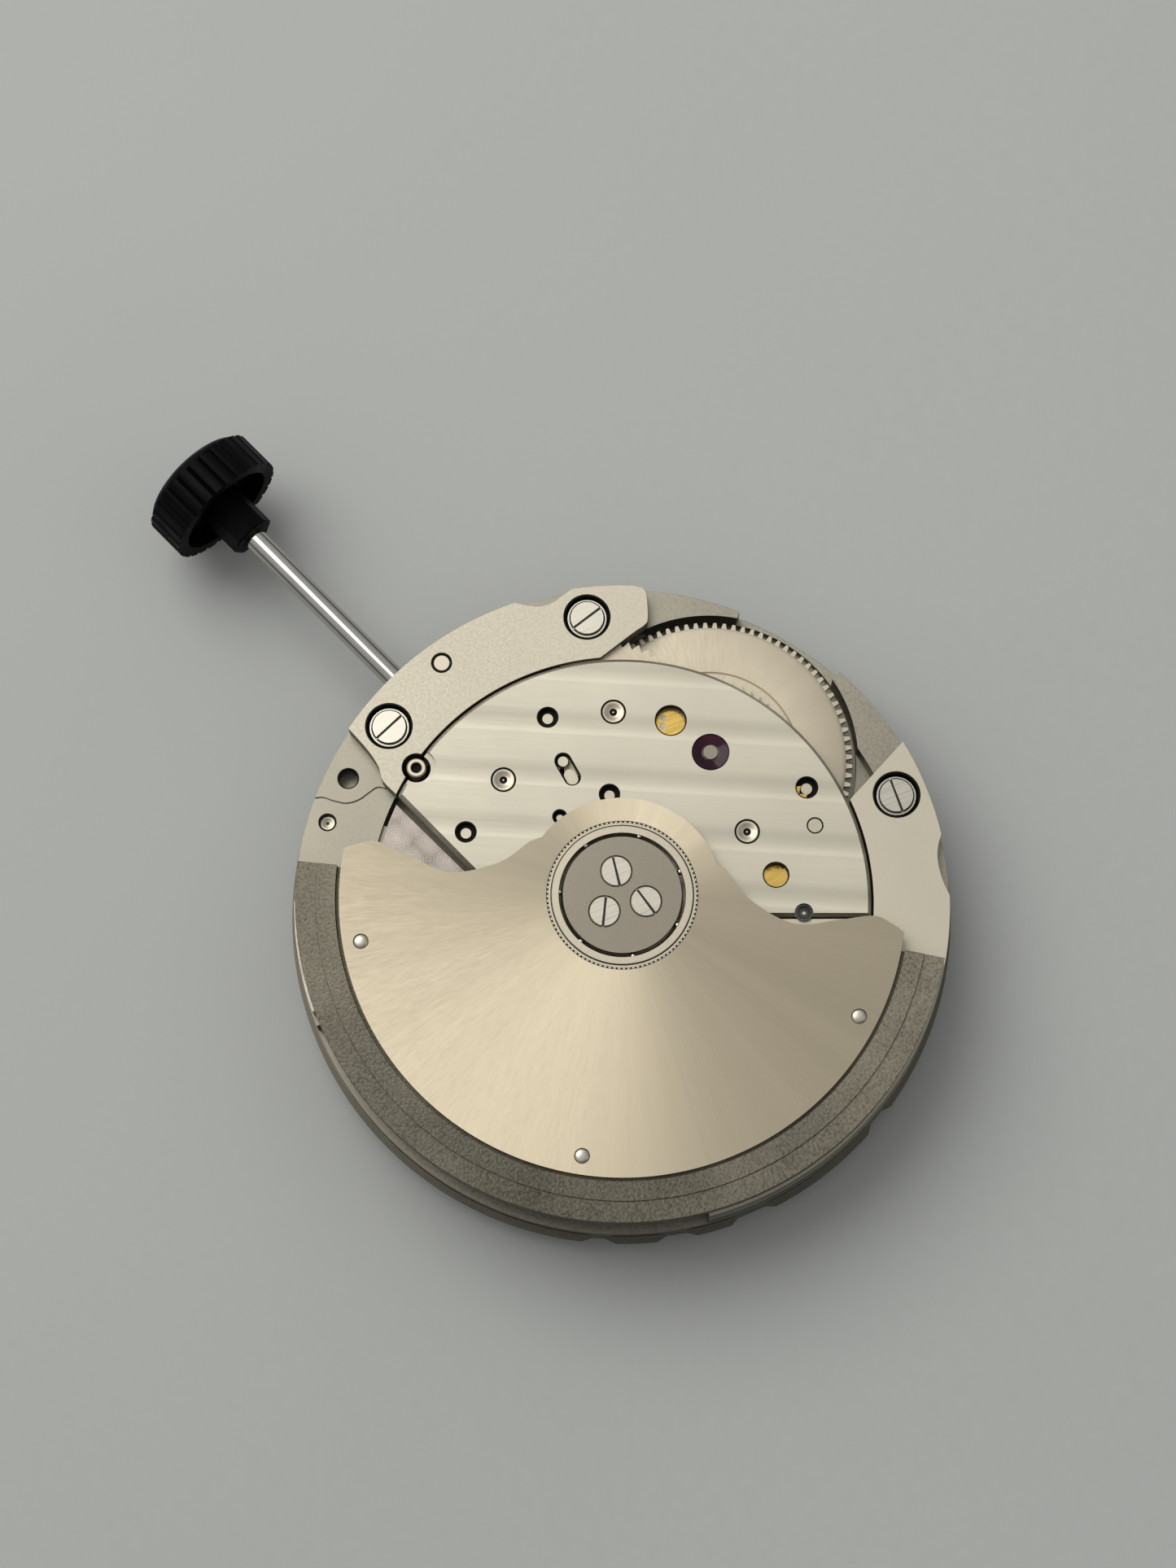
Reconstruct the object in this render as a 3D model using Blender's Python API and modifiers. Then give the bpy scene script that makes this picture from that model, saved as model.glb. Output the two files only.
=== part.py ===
"""Automatic watch movement with its setting stem and crown.

Sizes are in millimetres and become metres as each piece is placed. Heights are counted
from the dial seat, the face of the main plate that carries the dial. Angles are counted
from the setting stem, counter-clockwise as seen from the rotor. The origin is on the
movement's axis at the tip of the seconds post, and the stem points along +X.
"""

import math

import bmesh
import bpy
from mathutils import Matrix, Vector

MM = 0.001

# Fits and plain thicknesses
FIT = 0.02  # between pieces that sit on each other
PLAY = 0.04  # between pieces that turn past each other
RUN_IN = 0.05  # how far pieces joined into one solid reach into each other
WELD = 1e-5  # points closer than this are one
FLAT_ANGLE = 0.002  # radians: faces that differ by less are one face
WHEEL_THICKNESS = 0.1
ARBOR_RADIUS = 0.12
ARC_STEP = 6.0  # degrees
CIRCLE_START = 0.37  # of a side, so that no corner of a circle lies on an axis

# Case fit
CASING_RADIUS = 12.8
FLANGE_RADIUS = 13.0
FLANGE_HEIGHT = 0.45
FLANGE_SPANS = ((-170.3, 128.7), (-196.9, -176.7), (-211.3, -205.3), (-225.3, -218.3))

# Dial side, from the seat upwards
POST_LENGTH = 1.45  # seconds post below the dial seat
MINUTE_POST_LENGTH = 1.1
HOUR_POST_LENGTH = 0.75
GUARD_THICKNESS = 0.1
DATE_RING_THICKNESS = 0.2
DATE_RING_OUTER = 11.2
DATE_RING_INNER = 8.5
DATE_RING_TEETH = 31
GUARD_LAP = 0.25  # guard plate over the date ring
WORKS_RADIUS = 8.0
GUARD_BOTTOM = FIT
GUARD_TOP = GUARD_BOTTOM + GUARD_THICKNESS
DATE_BOTTOM = GUARD_TOP + PLAY
DATE_WHEEL_TOP = DATE_BOTTOM + WHEEL_THICKNESS
DATE_FLOOR = DATE_BOTTOM + DATE_RING_THICKNESS + PLAY
HOUR_BOTTOM = DATE_WHEEL_TOP + PLAY
MINUTE_BOTTOM = HOUR_BOTTOM + WHEEL_THICKNESS + PLAY
DRIVE_BOTTOM = MINUTE_BOTTOM + WHEEL_THICKNESS + PLAY
WORKS_FLOOR = DRIVE_BOTTOM + WHEEL_THICKNESS + PLAY

# Main plate, barrel and train, from the dial works upwards
FLOOR_THICKNESS = 0.15
PLATE_THICKNESS = 0.56  # above the floor of the dial works
BARREL_HEIGHT = 1.29
RATCHET_THICKNESS = 0.16
BARREL_FLOOR = WORKS_FLOOR + FLOOR_THICKNESS
PLATE_TOP = WORKS_FLOOR + PLATE_THICKNESS
BARREL_BOTTOM = BARREL_FLOOR + PLAY
BARREL_TOP = BARREL_BOTTOM + BARREL_HEIGHT
RATCHET_BOTTOM = BARREL_TOP + PLAY
RATCHET_TOP = RATCHET_BOTTOM + RATCHET_THICKNESS
THIRD_BOTTOM = BARREL_TOP + PLAY
SECOND_BOTTOM = THIRD_BOTTOM + WHEEL_THICKNESS + PLAY
FOURTH_BOTTOM = SECOND_BOTTOM + WHEEL_THICKNESS + PLAY

# Bridges
WEB_THICKNESS = 0.16  # of the automatic bridge under the rotor hub
WINDING_THICKNESS = 0.14
ROOF_THICKNESS = 0.16  # of the automatic bridge over its wheels
RING_BRIDGE_DROP = 0.1  # ring bridges below the automatic bridge
WALL_TOP = BARREL_TOP + 2 * PLAY
BRIDGE_BOTTOM = WALL_TOP + FIT
AUTO_BOTTOM = FOURTH_BOTTOM + WHEEL_THICKNESS + PLAY
WEB_TOP = AUTO_BOTTOM + WEB_THICKNESS
WINDING_BOTTOM = WEB_TOP + PLAY
WINDING_TOP = WINDING_BOTTOM + WINDING_THICKNESS
POCKET_TOP = WINDING_TOP + PLAY
AUTO_TOP = POCKET_TOP + ROOF_THICKNESS
BRIDGE_TOP = AUTO_TOP - RING_BRIDGE_DROP
AUTO_RADIUS = 9.64
RING_BRIDGE_INNER = 9.74
# The barrel bridge's ends: distance in from the casing edge, and direction
BARREL_BRIDGE_LEFT = ((0.0, 13.2), (1.2, 14.8), (1.9, 16.6), (2.35, 18.9))
BARREL_BRIDGE_RIGHT = ((2.1, -47.6), (1.5, -49.9), (0.0, -48.9))
BARREL_BRIDGE_INSIDE = (20.4, 18.0, -37.5, -39.8)
BARREL_BRIDGE_OUTSIDE = ((-46.0, -35.5), (-24.0, 11.0))
BARREL_NOTCH = (-34.3, -33.6, -26.0, -25.3)
BARREL_NOTCH_DEPTH = 0.5
TRAIN_BRIDGE_INSIDE = (-110.3, -209.3)
TRAIN_BRIDGE_OUTSIDE = ((-209.3, -134.0), (-122.0, -104.5))
TRAIN_NOTCH = (-132.3, -131.6, -125.0, -124.3)
TRAIN_NOTCH_DEPTH = 0.4
TRAIN_LOBE_INSIDE = (-209.3, -147.0)
TRAIN_LOBE_OUTSIDE = (-138.8, -194.3)
AUTO_START = -138.5
AUTO_HUB_SPAN = (82.0, 214.0)
WALL_INNER = 11.2
STEM_WALL = (-66.0, 68.0)
LAND_START = 13.5  # from here on the stem-side wall widens to a land
TRAIN_WALL = (-209.3, -87.0)
COVER_LEDGE = (27.0, 38.0)
COVER_LEDGE_INNER = 8.3
CUT_OFFSET = 3.36  # straight side of the automatic bridge from the stem's line
HUB_RADIUS = 3.4
JEWEL_THICKNESS = 0.12
COVER_SPAN = (21.5, 38.0)
COVER_CORNER = (4.7, CUT_OFFSET + 3 * PLAY)
COVER_BACK = ((6.6, 5.4), (5.4, 4.6))
COCK_FOOT = (46.0, 66.0)
COCK_ARM = ((9.9, 50.0), (12.5, 62.0))
COCK_ARM_HALF = 1.25
COCK_ARM_LEAN = 30.0
COCK_BOSS_RADIUS = 1.3
STUD_BEARING = (11.4, 56.0)

# Rotor and its ball bearing
ROTOR_ANGLE = 127.0
ROTOR_CLEARANCE = 0.4
ROTOR_THICKNESS = 0.26
ROTOR_RADIUS = 10.91
WEIGHT_INNER = 10.95
WEIGHT_STEP = 11.8
WEIGHT_OUTER = 12.6
WEIGHT_HALF_SPAN = 87.4
WEIGHT_CLEARANCE = 0.05
LEDGE_INNER = 9.7
RIVET_CIRCLE = 10.2
RIVET_RADIUS = 0.28
RIVET_ANGLES = (-71.0, 0.0, 71.0)
COLLAR_RADIUS = 3.85
COLLAR_RISE = 0.04
# One wavy side of the rotor plate: distance out along its straight side, and rise past it
ROTOR_WAVE = ((COLLAR_RADIUS, 1.55), (4.9, 0.55), (6.7, -0.12), (8.4, 0.3), (9.7, 0.65), (10.5, 0.42))
ROTOR_HALF_SPAN = 91.0
ROTOR_HUB_START = 118.0
LEDGE_INSET = 5.0
CORE_RADIUS = 2.34
RACE_INNER = 2.5
RACE_OUTER = 2.78
RACE_TEETH_RADIUS = 2.94
BALL_RADIUS = 0.15
BALL_COUNT = 7
BALL_ANGLE = 42.7
HUB_SCREW_CIRCLE = 0.95
HUB_SCREW_RADIUS = 0.6
HUB_SCREW_ANGLE = -30.5
ROTOR_BOTTOM = AUTO_TOP + ROTOR_CLEARANCE
ROTOR_TOP = ROTOR_BOTTOM + ROTOR_THICKNESS
HUB_TOP = ROTOR_TOP + COLLAR_RISE
WEIGHT_BOTTOM = AUTO_TOP + WEIGHT_CLEARANCE

# Wheels: tooth counts and modules
ADDENDUM = 0.9
DEDENDUM = 1.15
BARREL_TEETH = 92
BARREL_MODULE = 0.12
SECOND_PINION_TEETH = 12
TRAIN_MODULE = 0.1
SECOND_TEETH = 48
THIRD_PINION_TEETH = 6
THIRD_TEETH = 45
FOURTH_PINION_TEETH = 6
ESCAPE_MODULE = 0.07
FOURTH_TEETH = 72
ESCAPE_PINION_TEETH = 6
ESCAPE_TEETH = 20
ESCAPE_RADIUS = 1.45
ESCAPE_ROOT = 1.1
WINDING_MODULE = 0.129
RATCHET_TEETH = 48
INTERMEDIATE_TEETH = 45
INTERMEDIATE_PINION_TEETH = 16
CROWN_WHEEL_TEETH = 34
REVERSING_TEETH = 42
REVERSING_PINION_TEETH = 6
ROTOR_PINION_TEETH = 44
WINDING_PINION_TEETH = 11
DRIVE_TEETH = 48
DRIVE_PINION_TEETH = 6
MOTION_MODULE = 0.133
CANNON_TEETH = 9
MINUTE_TEETH = 27
MINUTE_PINION_TEETH = 8
HOUR_TEETH = 32
DATE_MODULE = 0.115
HOUR_LEAF_TEETH = 12
DATE_IDLER_TEETH = 42
DATE_WHEEL_TEETH = 24
INTERMEDIATE_ANGLE = 22.5
MINUTE_ANGLE = 20.0
DATE_ANGLE = -120.0
REVERSING_HOLES = 4
REVERSING_HOLE_RADIUS = 0.55
REVERSING_HOLE_CIRCLE = 1.5
WHEEL_HOLES = 3
WHEEL_HOLE_START = 45.0
WHEEL_HOLE_SHARE = 0.3  # hole radius and place as shares of the pitch radius
WHEEL_HOLE_REACH = 0.52
CANNON_TUBE_RADIUS = 0.42
HOUR_TUBE_WALL = 0.2
DATE_TOOTH_DEPTH = 0.4
DATE_TOOTH_GAP = (0.35, 0.65)
GUARD_POST_INSET = 0.6
GUARD_POST_RADIUS = 0.3
GUARD_POST_ANGLES = (60.0, 180.0, 300.0)

# Barrel
BARREL_DISTANCE = 6.8
BARREL_ANGLE = -75.0
RECESS_PLAY = 0.2
DRUM_WALL = 0.25
COVER_THICKNESS = 0.2
ARBOR_CORE = 1.1
MAINSPRING_LOOPS = 4
MAINSPRING_STRIP = 0.07
MAINSPRING_POINTS = 16
CLICK_RADIUS = 0.45
CLICK_ROOT_HALF = 0.35
CLICK_LEAD = 14.0

# Escapement and balance
THIRD_ANGLE = -169.3
ESCAPE_ANGLE = 100.7
PALLET_REACH = 1.78  # pallet pivot from the escape wheel's axis
BALANCE_DISTANCE = 7.88
BALANCE_RADIUS = 4.2
BALANCE_RIM = 0.45
BALANCE_THICKNESS = 0.25
ROLLER_RADIUS = 0.45
PALLET_BRIDGE_THICKNESS = 0.18
PALLET_BRIDGE_LENGTH = 6.8
PALLET_BRIDGE_WIDTH = 0.9
HAIRSPRING_LOOPS = 4
HAIRSPRING_START = 0.5
HAIRSPRING_PITCH = 0.5
HAIRSPRING_WIRE = 0.03
HAIRSPRING_POINTS = 24
STUD_RADIUS = 0.12
ESCAPE_TIP_SHARE = 0.12  # of a tooth's pitch
ESCAPE_HEEL_SHARE = 0.55
ANCHOR_CLEARANCE = 0.2
ANCHOR_THICKNESS = 0.28
ANCHOR_HALF_SPAN = 36.0
FORK_HALF_WIDTH = 0.16
PALLET_HUB_RADIUS = 0.3
BALANCE_ARM_HALF = 0.3
BALANCE_HUB_RADIUS = 0.7

# Stem, crown and setting works
STEM_RADIUS = 0.46
STEM_HEIGHT = WALL_TOP - STEM_RADIUS - FIT  # the stem passes just under the barrel bridge
STEM_INNER_END = 5.1
STEM_END = 23.1
STEM_PULL = 0.8
CLUTCH_SHIFT = 0.35
WINDING_PINION_START = 7.5
WINDING_PINION_END = 8.4
CLUTCH_START = 6.3
CLUTCH_END = 7.4
CLUTCH_GROOVE = 6.82
CLUTCH_GROOVE_RADIUS = 0.52
GROOVE_WIDTH = 0.28
GROOVE_RADIUS = 0.28
STEM_PILOT_RADIUS = 0.24
STEM_SQUARE_RADIUS = 0.38
CLUTCH_BORE = STEM_SQUARE_RADIUS + PLAY
LEVER_THICKNESS = 0.2
LEVER_PIVOT = (9.37, 2.08)
YOKE_PIVOT = (6.65, 2.6)
COLLAR_START = 21.1
CROWN_START = 22.7
CROWN_RIM_END = 24.35
CROWN_END = 25.05
CROWN_COLLAR_RADIUS = 0.96
CROWN_RADIUS = 2.58
CROWN_FLUTE_DEPTH = 0.14
CROWN_FLUTES = 28
FLUTE_CREST = 0.34  # half a flute's crest, as a share of its pitch
CROWN_HOLLOW_RADIUS = 2.05
CROWN_HOLLOW_DEPTH = 0.7

CROWN_WHEEL_BOTTOM = STEM_HEIGHT + WINDING_MODULE * (WINDING_PINION_TEETH / 2 + ADDENDUM) + PLAY
CROWN_POCKET_TOP = CROWN_WHEEL_BOTTOM + WINDING_THICKNESS + PLAY

# Screws, posts and holes: distance from the axis and angle from the stem
BRIDGE_SCREWS = ((11.45, 8.5), (11.46, -37.5), (11.5, -113.1))
COCK_SCREW = (11.4, 58.0)
SCREW_HEAD_RADIUS = 0.66
SCREW_RECESS_RADIUS = 0.93
SCREW_RECESS_DEPTH = 0.3
SCREW_SHANK_RADIUS = 0.35
SCREW_SLOT_WIDTH = 0.14
SCREW_SLOT_DEPTH = 0.12
RELEASE_HOLE_RADIUS = 0.54
RELEASE_RADIUS = 0.39
RELEASE_BORE = 0.2
RELEASE_TRAVEL = 0.15
RING_HOLE = (11.85, -7.6, 0.41)
PLATE_HOLE = (11.85, 20.7, 0.42)
PLATE_JEWEL = (11.97, 30.0, 0.32)
TRAIN_JEWEL = (7.05, -138.8, 0.36)
WINDOWS = ((7.38, -59.4, 0.63), (6.04, -125.4, 0.52))
BRIDGE_HOLES = ((7.81, -22.5, 0.42), (6.62, 22.2, 0.42), (8.46, -102.8, 0.45), (8.05, -113.2, 0.33))
BRIDGE_SLOT = ((5.75, -22.4), (5.25, -22.6), 0.3)
PIVOT_JEWEL_RADIUS = 0.48
BARREL_JEWEL_RADIUS = 0.72
PILLARS = ((5.08, 32.1, 0.5), (9.0, -136.2, 0.5), (9.0, -8.6, 0.4))

LOOKS = {
    "plate": ((0.60, 0.58, 0.53), 1.0, 0.38),
    "bridge": ((0.66, 0.63, 0.57), 1.0, 0.32),
    "steel": ((0.62, 0.61, 0.60), 1.0, 0.18),
    "rotor": ((0.64, 0.57, 0.47), 1.0, 0.28),
    "weight": ((0.24, 0.22, 0.19), 1.0, 0.55),
    "brass": ((0.80, 0.56, 0.16), 1.0, 0.25),
    "ruby": ((0.20, 0.01, 0.06), 0.0, 0.12),
    "spring": ((0.30, 0.33, 0.42), 1.0, 0.25),
    "plastic": ((0.012, 0.012, 0.013), 0.0, 0.22),
    "dial": ((0.80, 0.80, 0.77), 0.0, 0.5),
}


# Plane geometry


def polar(radius, degrees, about=(0.0, 0.0)):
    turn = math.radians(degrees)
    return (about[0] + radius * math.cos(turn), about[1] + radius * math.sin(turn))


def arc(radius, start, end, about=(0.0, 0.0), step=ARC_STEP):
    count = max(1, math.ceil(abs(end - start) / step))
    return [polar(radius, start + (end - start) * i / count, about) for i in range(count + 1)]


def circle(radius, about=(0.0, 0.0), sides=14):
    return [polar(radius, 360 * (i + CIRCLE_START) / sides, about) for i in range(sides)]


def sector(inner, outer, start, end):
    return arc(outer, start, end) + arc(inner, end, start)


def strip(start, end, half_width):
    """The four corners of a straight bar from start to end."""
    along = (Vector(end) - Vector(start)).normalized()
    side = Vector((-along.y, along.x)) * half_width
    return [tuple(Vector(p) + s * side) for p, s in ((start, -1), (end, -1), (end, 1), (start, 1))]


def heading(start, end):
    return math.degrees(math.atan2(end[1] - start[1], end[0] - start[0]))


def meet(centre, radius, other, other_radius, side):
    """Where two circles cross, on the left (side 1) or right (side -1) of the line between them."""
    span = math.dist(centre, other)
    along = (span**2 + radius**2 - other_radius**2) / (2 * span)
    across = math.sqrt(radius**2 - along**2)
    lean = math.degrees(math.atan2(across, along))
    return polar(radius, heading(centre, other) + side * lean, centre)


def smooth(points, steps=4):
    """A curve through all the points, ends included."""
    knots = [Vector(p) for p in points]
    knots = [2 * knots[0] - knots[1], *knots, 2 * knots[-1] - knots[-2]]
    line = []
    for a, b, c, d in zip(knots, knots[1:], knots[2:], knots[3:]):
        for i in range(steps):
            t = i / steps
            line.append((2 * b + t * (c - a) + t * t * (2 * a - 5 * b + 4 * c - d)
                         + t**3 * (3 * b - a - 3 * c + d)) / 2)
    return [tuple(p) for p in line] + [tuple(points[-1])]


def pitch_radius(teeth, module):
    return teeth * module / 2


def gear(teeth, module, about=(0.0, 0.0), phase=0.0, fine=False):
    """A toothed outline with a tooth centred at phase. Fine teeth have flat tips and roots."""
    tip = pitch_radius(teeth, module) + ADDENDUM * module
    root = pitch_radius(teeth, module) - DEDENDUM * module
    coarse = ((0.0, tip), (0.5, root))
    shape = ((-0.28, root), (-0.13, tip), (0.13, tip), (0.28, root)) if fine else coarse
    pitch = 360 / teeth
    return [polar(r, phase + pitch * (i + share), about) for i in range(teeth) for share, r in shape]


def mesh_phase(phase, teeth, direction, other_teeth):
    """The phase of a wheel that meshes with one of the given phase, which lies in that direction."""
    share = ((direction - phase) / (360 / teeth)) % 1
    return direction + 180 + (share - 0.5) * 360 / other_teeth


# Solids, in millimetres


def welded(mesh):
    shape = bmesh.new()
    shape.from_mesh(mesh)
    bmesh.ops.remove_doubles(shape, verts=shape.verts, dist=WELD)
    bmesh.ops.recalc_face_normals(shape, faces=shape.faces)
    shape.to_mesh(mesh)
    shape.free()
    return mesh


def evaluated(data, prepare=None):
    """A mesh made from an object's data, after prepare has given the object its modifiers."""
    holder = bpy.data.objects.new("holder", data)
    bpy.context.scene.collection.objects.link(holder)
    helpers = prepare(holder) if prepare else []
    graph = bpy.context.evaluated_depsgraph_get()
    mesh = bpy.data.meshes.new_from_object(holder.evaluated_get(graph))
    for helper in [holder, *helpers]:
        bpy.data.objects.remove(helper)
    return mesh


def flat(bottom, top, *outlines):
    """A flat piece between two heights. An outline inside another is a hole."""
    curve = bpy.data.curves.new("outline", "CURVE")
    curve.dimensions = "2D"
    curve.fill_mode = "BOTH"
    curve.extrude = (top - bottom) / 2
    for outline in outlines:
        spline = curve.splines.new("POLY")
        spline.points.add(len(outline) - 1)
        for point, (x, y) in zip(spline.points, outline):
            point.co = (x, y, 0, 1)
        spline.use_cyclic_u = True
    mesh = welded(evaluated(curve))
    mesh.transform(Matrix.Translation((0, 0, (bottom + top) / 2)))
    return mesh


def disc(radius, bottom, top, about=(0.0, 0.0), sides=14):
    return flat(bottom, top, circle(radius, about, sides))


def ring(inner, outer, bottom, top, about=(0.0, 0.0), sides=32):
    return flat(bottom, top, circle(outer, about, sides), circle(inner, about, sides))


def turned(profile, steps=32):
    """A solid turned about Z from a closed profile of (radius, height), down its outer side first."""
    data = bpy.data.meshes.new("profile")
    count = len(profile)
    edges = [(i, (i + 1) % count) for i in range(count)]
    data.from_pydata([(r, 0, z) for r, z in profile], edges, [])

    def screw(holder):
        modifier = holder.modifiers.new("turn", "SCREW")
        modifier.steps = modifier.render_steps = steps
        modifier.use_merge_vertices = True
        modifier.merge_threshold = WELD
        return []

    return welded(evaluated(data, screw))


def cleaned(mesh):
    """The same solid without the edges that a Boolean leaves across its flat faces."""
    shape = bmesh.new()
    shape.from_mesh(mesh)
    bmesh.ops.remove_doubles(shape, verts=shape.verts, dist=WELD)
    bmesh.ops.dissolve_limit(shape, angle_limit=FLAT_ANGLE, verts=shape.verts, edges=shape.edges)
    shape.to_mesh(mesh)
    shape.free()
    return mesh


def combined(operation, mesh, others):
    def modifiers(holder):
        helpers = []
        for other in others:
            helper = bpy.data.objects.new("helper", other)
            bpy.context.scene.collection.objects.link(helper)
            modifier = holder.modifiers.new("shape", "BOOLEAN")
            modifier.operation = operation
            modifier.object = helper
            helpers.append(helper)
        return helpers

    return cleaned(evaluated(mesh, modifiers))


def joined(mesh, *others):
    return combined("UNION", mesh, others)


def cut(mesh, *others):
    return combined("DIFFERENCE", mesh, others)


def along_stem(mesh):
    """Turns a solid built about Z so that its axis is the stem's."""
    mesh.transform(Matrix.Rotation(math.radians(90), 4, "Y"))
    mesh.transform(Matrix.Translation((0, 0, STEM_HEIGHT)))
    return mesh


def box(low, high):
    return flat(low[2], high[2], [low[:2], (high[0], low[1]), high[:2], (low[0], high[1])])


# Placing


def material(name, look):
    colour, metallic, roughness = LOOKS[look]
    made = bpy.data.materials.new(name)
    made.use_nodes = True
    shader = made.node_tree.nodes["Principled BSDF"]
    shader.inputs["Base Color"].default_value = (*colour, 1)
    shader.inputs["Metallic"].default_value = metallic
    shader.inputs["Roughness"].default_value = roughness
    return made


def place(name, mesh, look, pivot=(0.0, 0.0), pivot_height=0.0):
    """Puts a finished solid in the movement, in metres, with its origin on its pivot."""
    origin = Vector((*pivot, pivot_height))
    mesh.transform(Matrix.Translation(-origin))
    mesh.transform(Matrix.Scale(MM, 4))
    mesh.name = name
    mesh.shade_smooth()
    mesh.set_sharp_from_angle(angle=math.radians(30))
    mesh.materials.append(material(name, look))
    piece = bpy.data.objects.new(name, mesh)
    piece.location = (origin + Vector((0, 0, POST_LENGTH))) * MM
    bpy.data.collections["watch_movement"].objects.link(piece)


# Where the axes are

BARREL = polar(BARREL_DISTANCE, BARREL_ANGLE)
SECOND_DISTANCE = pitch_radius(BARREL_TEETH + SECOND_PINION_TEETH, BARREL_MODULE)
THIRD = polar(pitch_radius(THIRD_TEETH + FOURTH_PINION_TEETH, TRAIN_MODULE), THIRD_ANGLE)
THIRD_TO_SECOND = pitch_radius(SECOND_TEETH + THIRD_PINION_TEETH, TRAIN_MODULE)
SECOND = meet(BARREL, SECOND_DISTANCE, THIRD, THIRD_TO_SECOND, 1)
ESCAPE = polar(pitch_radius(FOURTH_TEETH + ESCAPE_PINION_TEETH, ESCAPE_MODULE), ESCAPE_ANGLE)
PALLET = polar(PALLET_REACH, ESCAPE_ANGLE, ESCAPE)
BALANCE = polar(BALANCE_DISTANCE, ESCAPE_ANGLE)
RATCHET_TO_INTERMEDIATE = pitch_radius(RATCHET_TEETH + INTERMEDIATE_PINION_TEETH, WINDING_MODULE)
INTERMEDIATE = polar(RATCHET_TO_INTERMEDIATE, INTERMEDIATE_ANGLE, BARREL)
CROWN_TO_INTERMEDIATE = pitch_radius(CROWN_WHEEL_TEETH + INTERMEDIATE_TEETH, WINDING_MODULE)
CROWN_WHEEL = (
    INTERMEDIATE[0] + math.sqrt(CROWN_TO_INTERMEDIATE**2 - INTERMEDIATE[1] ** 2),
    0.0,
)
REVERSING = meet(
    (0.0, 0.0),
    pitch_radius(ROTOR_PINION_TEETH + REVERSING_TEETH, WINDING_MODULE),
    BARREL,
    pitch_radius(RATCHET_TEETH + REVERSING_PINION_TEETH, WINDING_MODULE),
    -1,
)
DRIVE_MODULE = 2 * math.dist(THIRD, (0, 0)) / (DRIVE_TEETH + DRIVE_PINION_TEETH)
MINUTE = polar(pitch_radius(CANNON_TEETH + MINUTE_TEETH, MOTION_MODULE), MINUTE_ANGLE)
HOUR_MODULE = 2 * math.dist(MINUTE, (0, 0)) / (MINUTE_PINION_TEETH + HOUR_TEETH)
DATE_IDLER = polar(pitch_radius(HOUR_LEAF_TEETH + DATE_IDLER_TEETH, DATE_MODULE), DATE_ANGLE)
DATE_WHEEL = polar(pitch_radius(DATE_IDLER_TEETH + DATE_WHEEL_TEETH, DATE_MODULE), DATE_ANGLE, DATE_IDLER)


# Pieces


def screw(name, about, top, length, head_radius, shank_radius):
    head_bottom = top - SCREW_RECESS_DEPTH + FIT
    profile = [
        (0, top),
        (head_radius, top),
        (head_radius, head_bottom),
        (shank_radius, head_bottom),
        (shank_radius, top - length),
        (0, top - length),
    ]
    body = turned(profile, 14)
    slot_floor = top - SCREW_SLOT_DEPTH
    slot = box(
        (-head_radius - RUN_IN, -SCREW_SLOT_WIDTH / 2, slot_floor),
        (head_radius + RUN_IN, SCREW_SLOT_WIDTH / 2, top + RUN_IN),
    )
    slot.transform(Matrix.Rotation(math.radians(heading((0, 0), about)), 4, "Z"))
    body = cut(body, slot)
    body.transform(Matrix.Translation((*about, 0)))
    place(name, body, "steel", about)


def screw_holes(about, head_bottom, shank_end):
    """The counterbore and the shank hole that a bridge screw needs."""
    return (
        disc(SCREW_RECESS_RADIUS, head_bottom, BRIDGE_TOP + RUN_IN, about),
        disc(SCREW_SHANK_RADIUS + FIT, shank_end, head_bottom + RUN_IN, about, 12),
    )


def bridge_screws():
    for number, place_of in enumerate((*BRIDGE_SCREWS, COCK_SCREW), 1):
        name = "cock_screw" if place_of == COCK_SCREW else f"bridge_screw_{number}"
        length = BRIDGE_TOP - PLATE_TOP - PLAY
        screw(name, polar(*place_of), BRIDGE_TOP, length, SCREW_HEAD_RADIUS, SCREW_SHANK_RADIUS)


def all_screw_holes():
    holes = []
    for place_of in (*BRIDGE_SCREWS, COCK_SCREW):
        holes += screw_holes(polar(*place_of), BRIDGE_TOP - SCREW_RECESS_DEPTH, PLATE_TOP)
    return holes


def stem_tunnel():
    """Room in the main plate for the stem, its pinions and the setting levers."""
    radius = pitch_radius(WINDING_PINION_TEETH, WINDING_MODULE) + WINDING_MODULE
    floor = STEM_HEIGHT - radius - PLAY
    reach = radius + PLAY
    channel = box(
        (STEM_INNER_END - PLAY, -reach, floor),
        (WINDING_PINION_END + STEM_PULL, reach, WALL_TOP + RUN_IN),
    )
    hole = along_stem(disc(STEM_RADIUS + PLAY, CLUTCH_END, FLANGE_RADIUS + RUN_IN))
    return channel, hole


def rim_outline():
    """The edge of the main plate at the dial, stepping out to the case flange."""
    line = arc(CASING_RADIUS, FLANGE_SPANS[0][1], FLANGE_SPANS[3][0] + 360)[1:-1]
    for span, following in zip(FLANGE_SPANS[::-1], (*FLANGE_SPANS[2::-1], None)):
        line += arc(FLANGE_RADIUS, *span)
        if following:
            line += arc(CASING_RADIUS, span[1], following[0])[1:-1]
    return line


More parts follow.
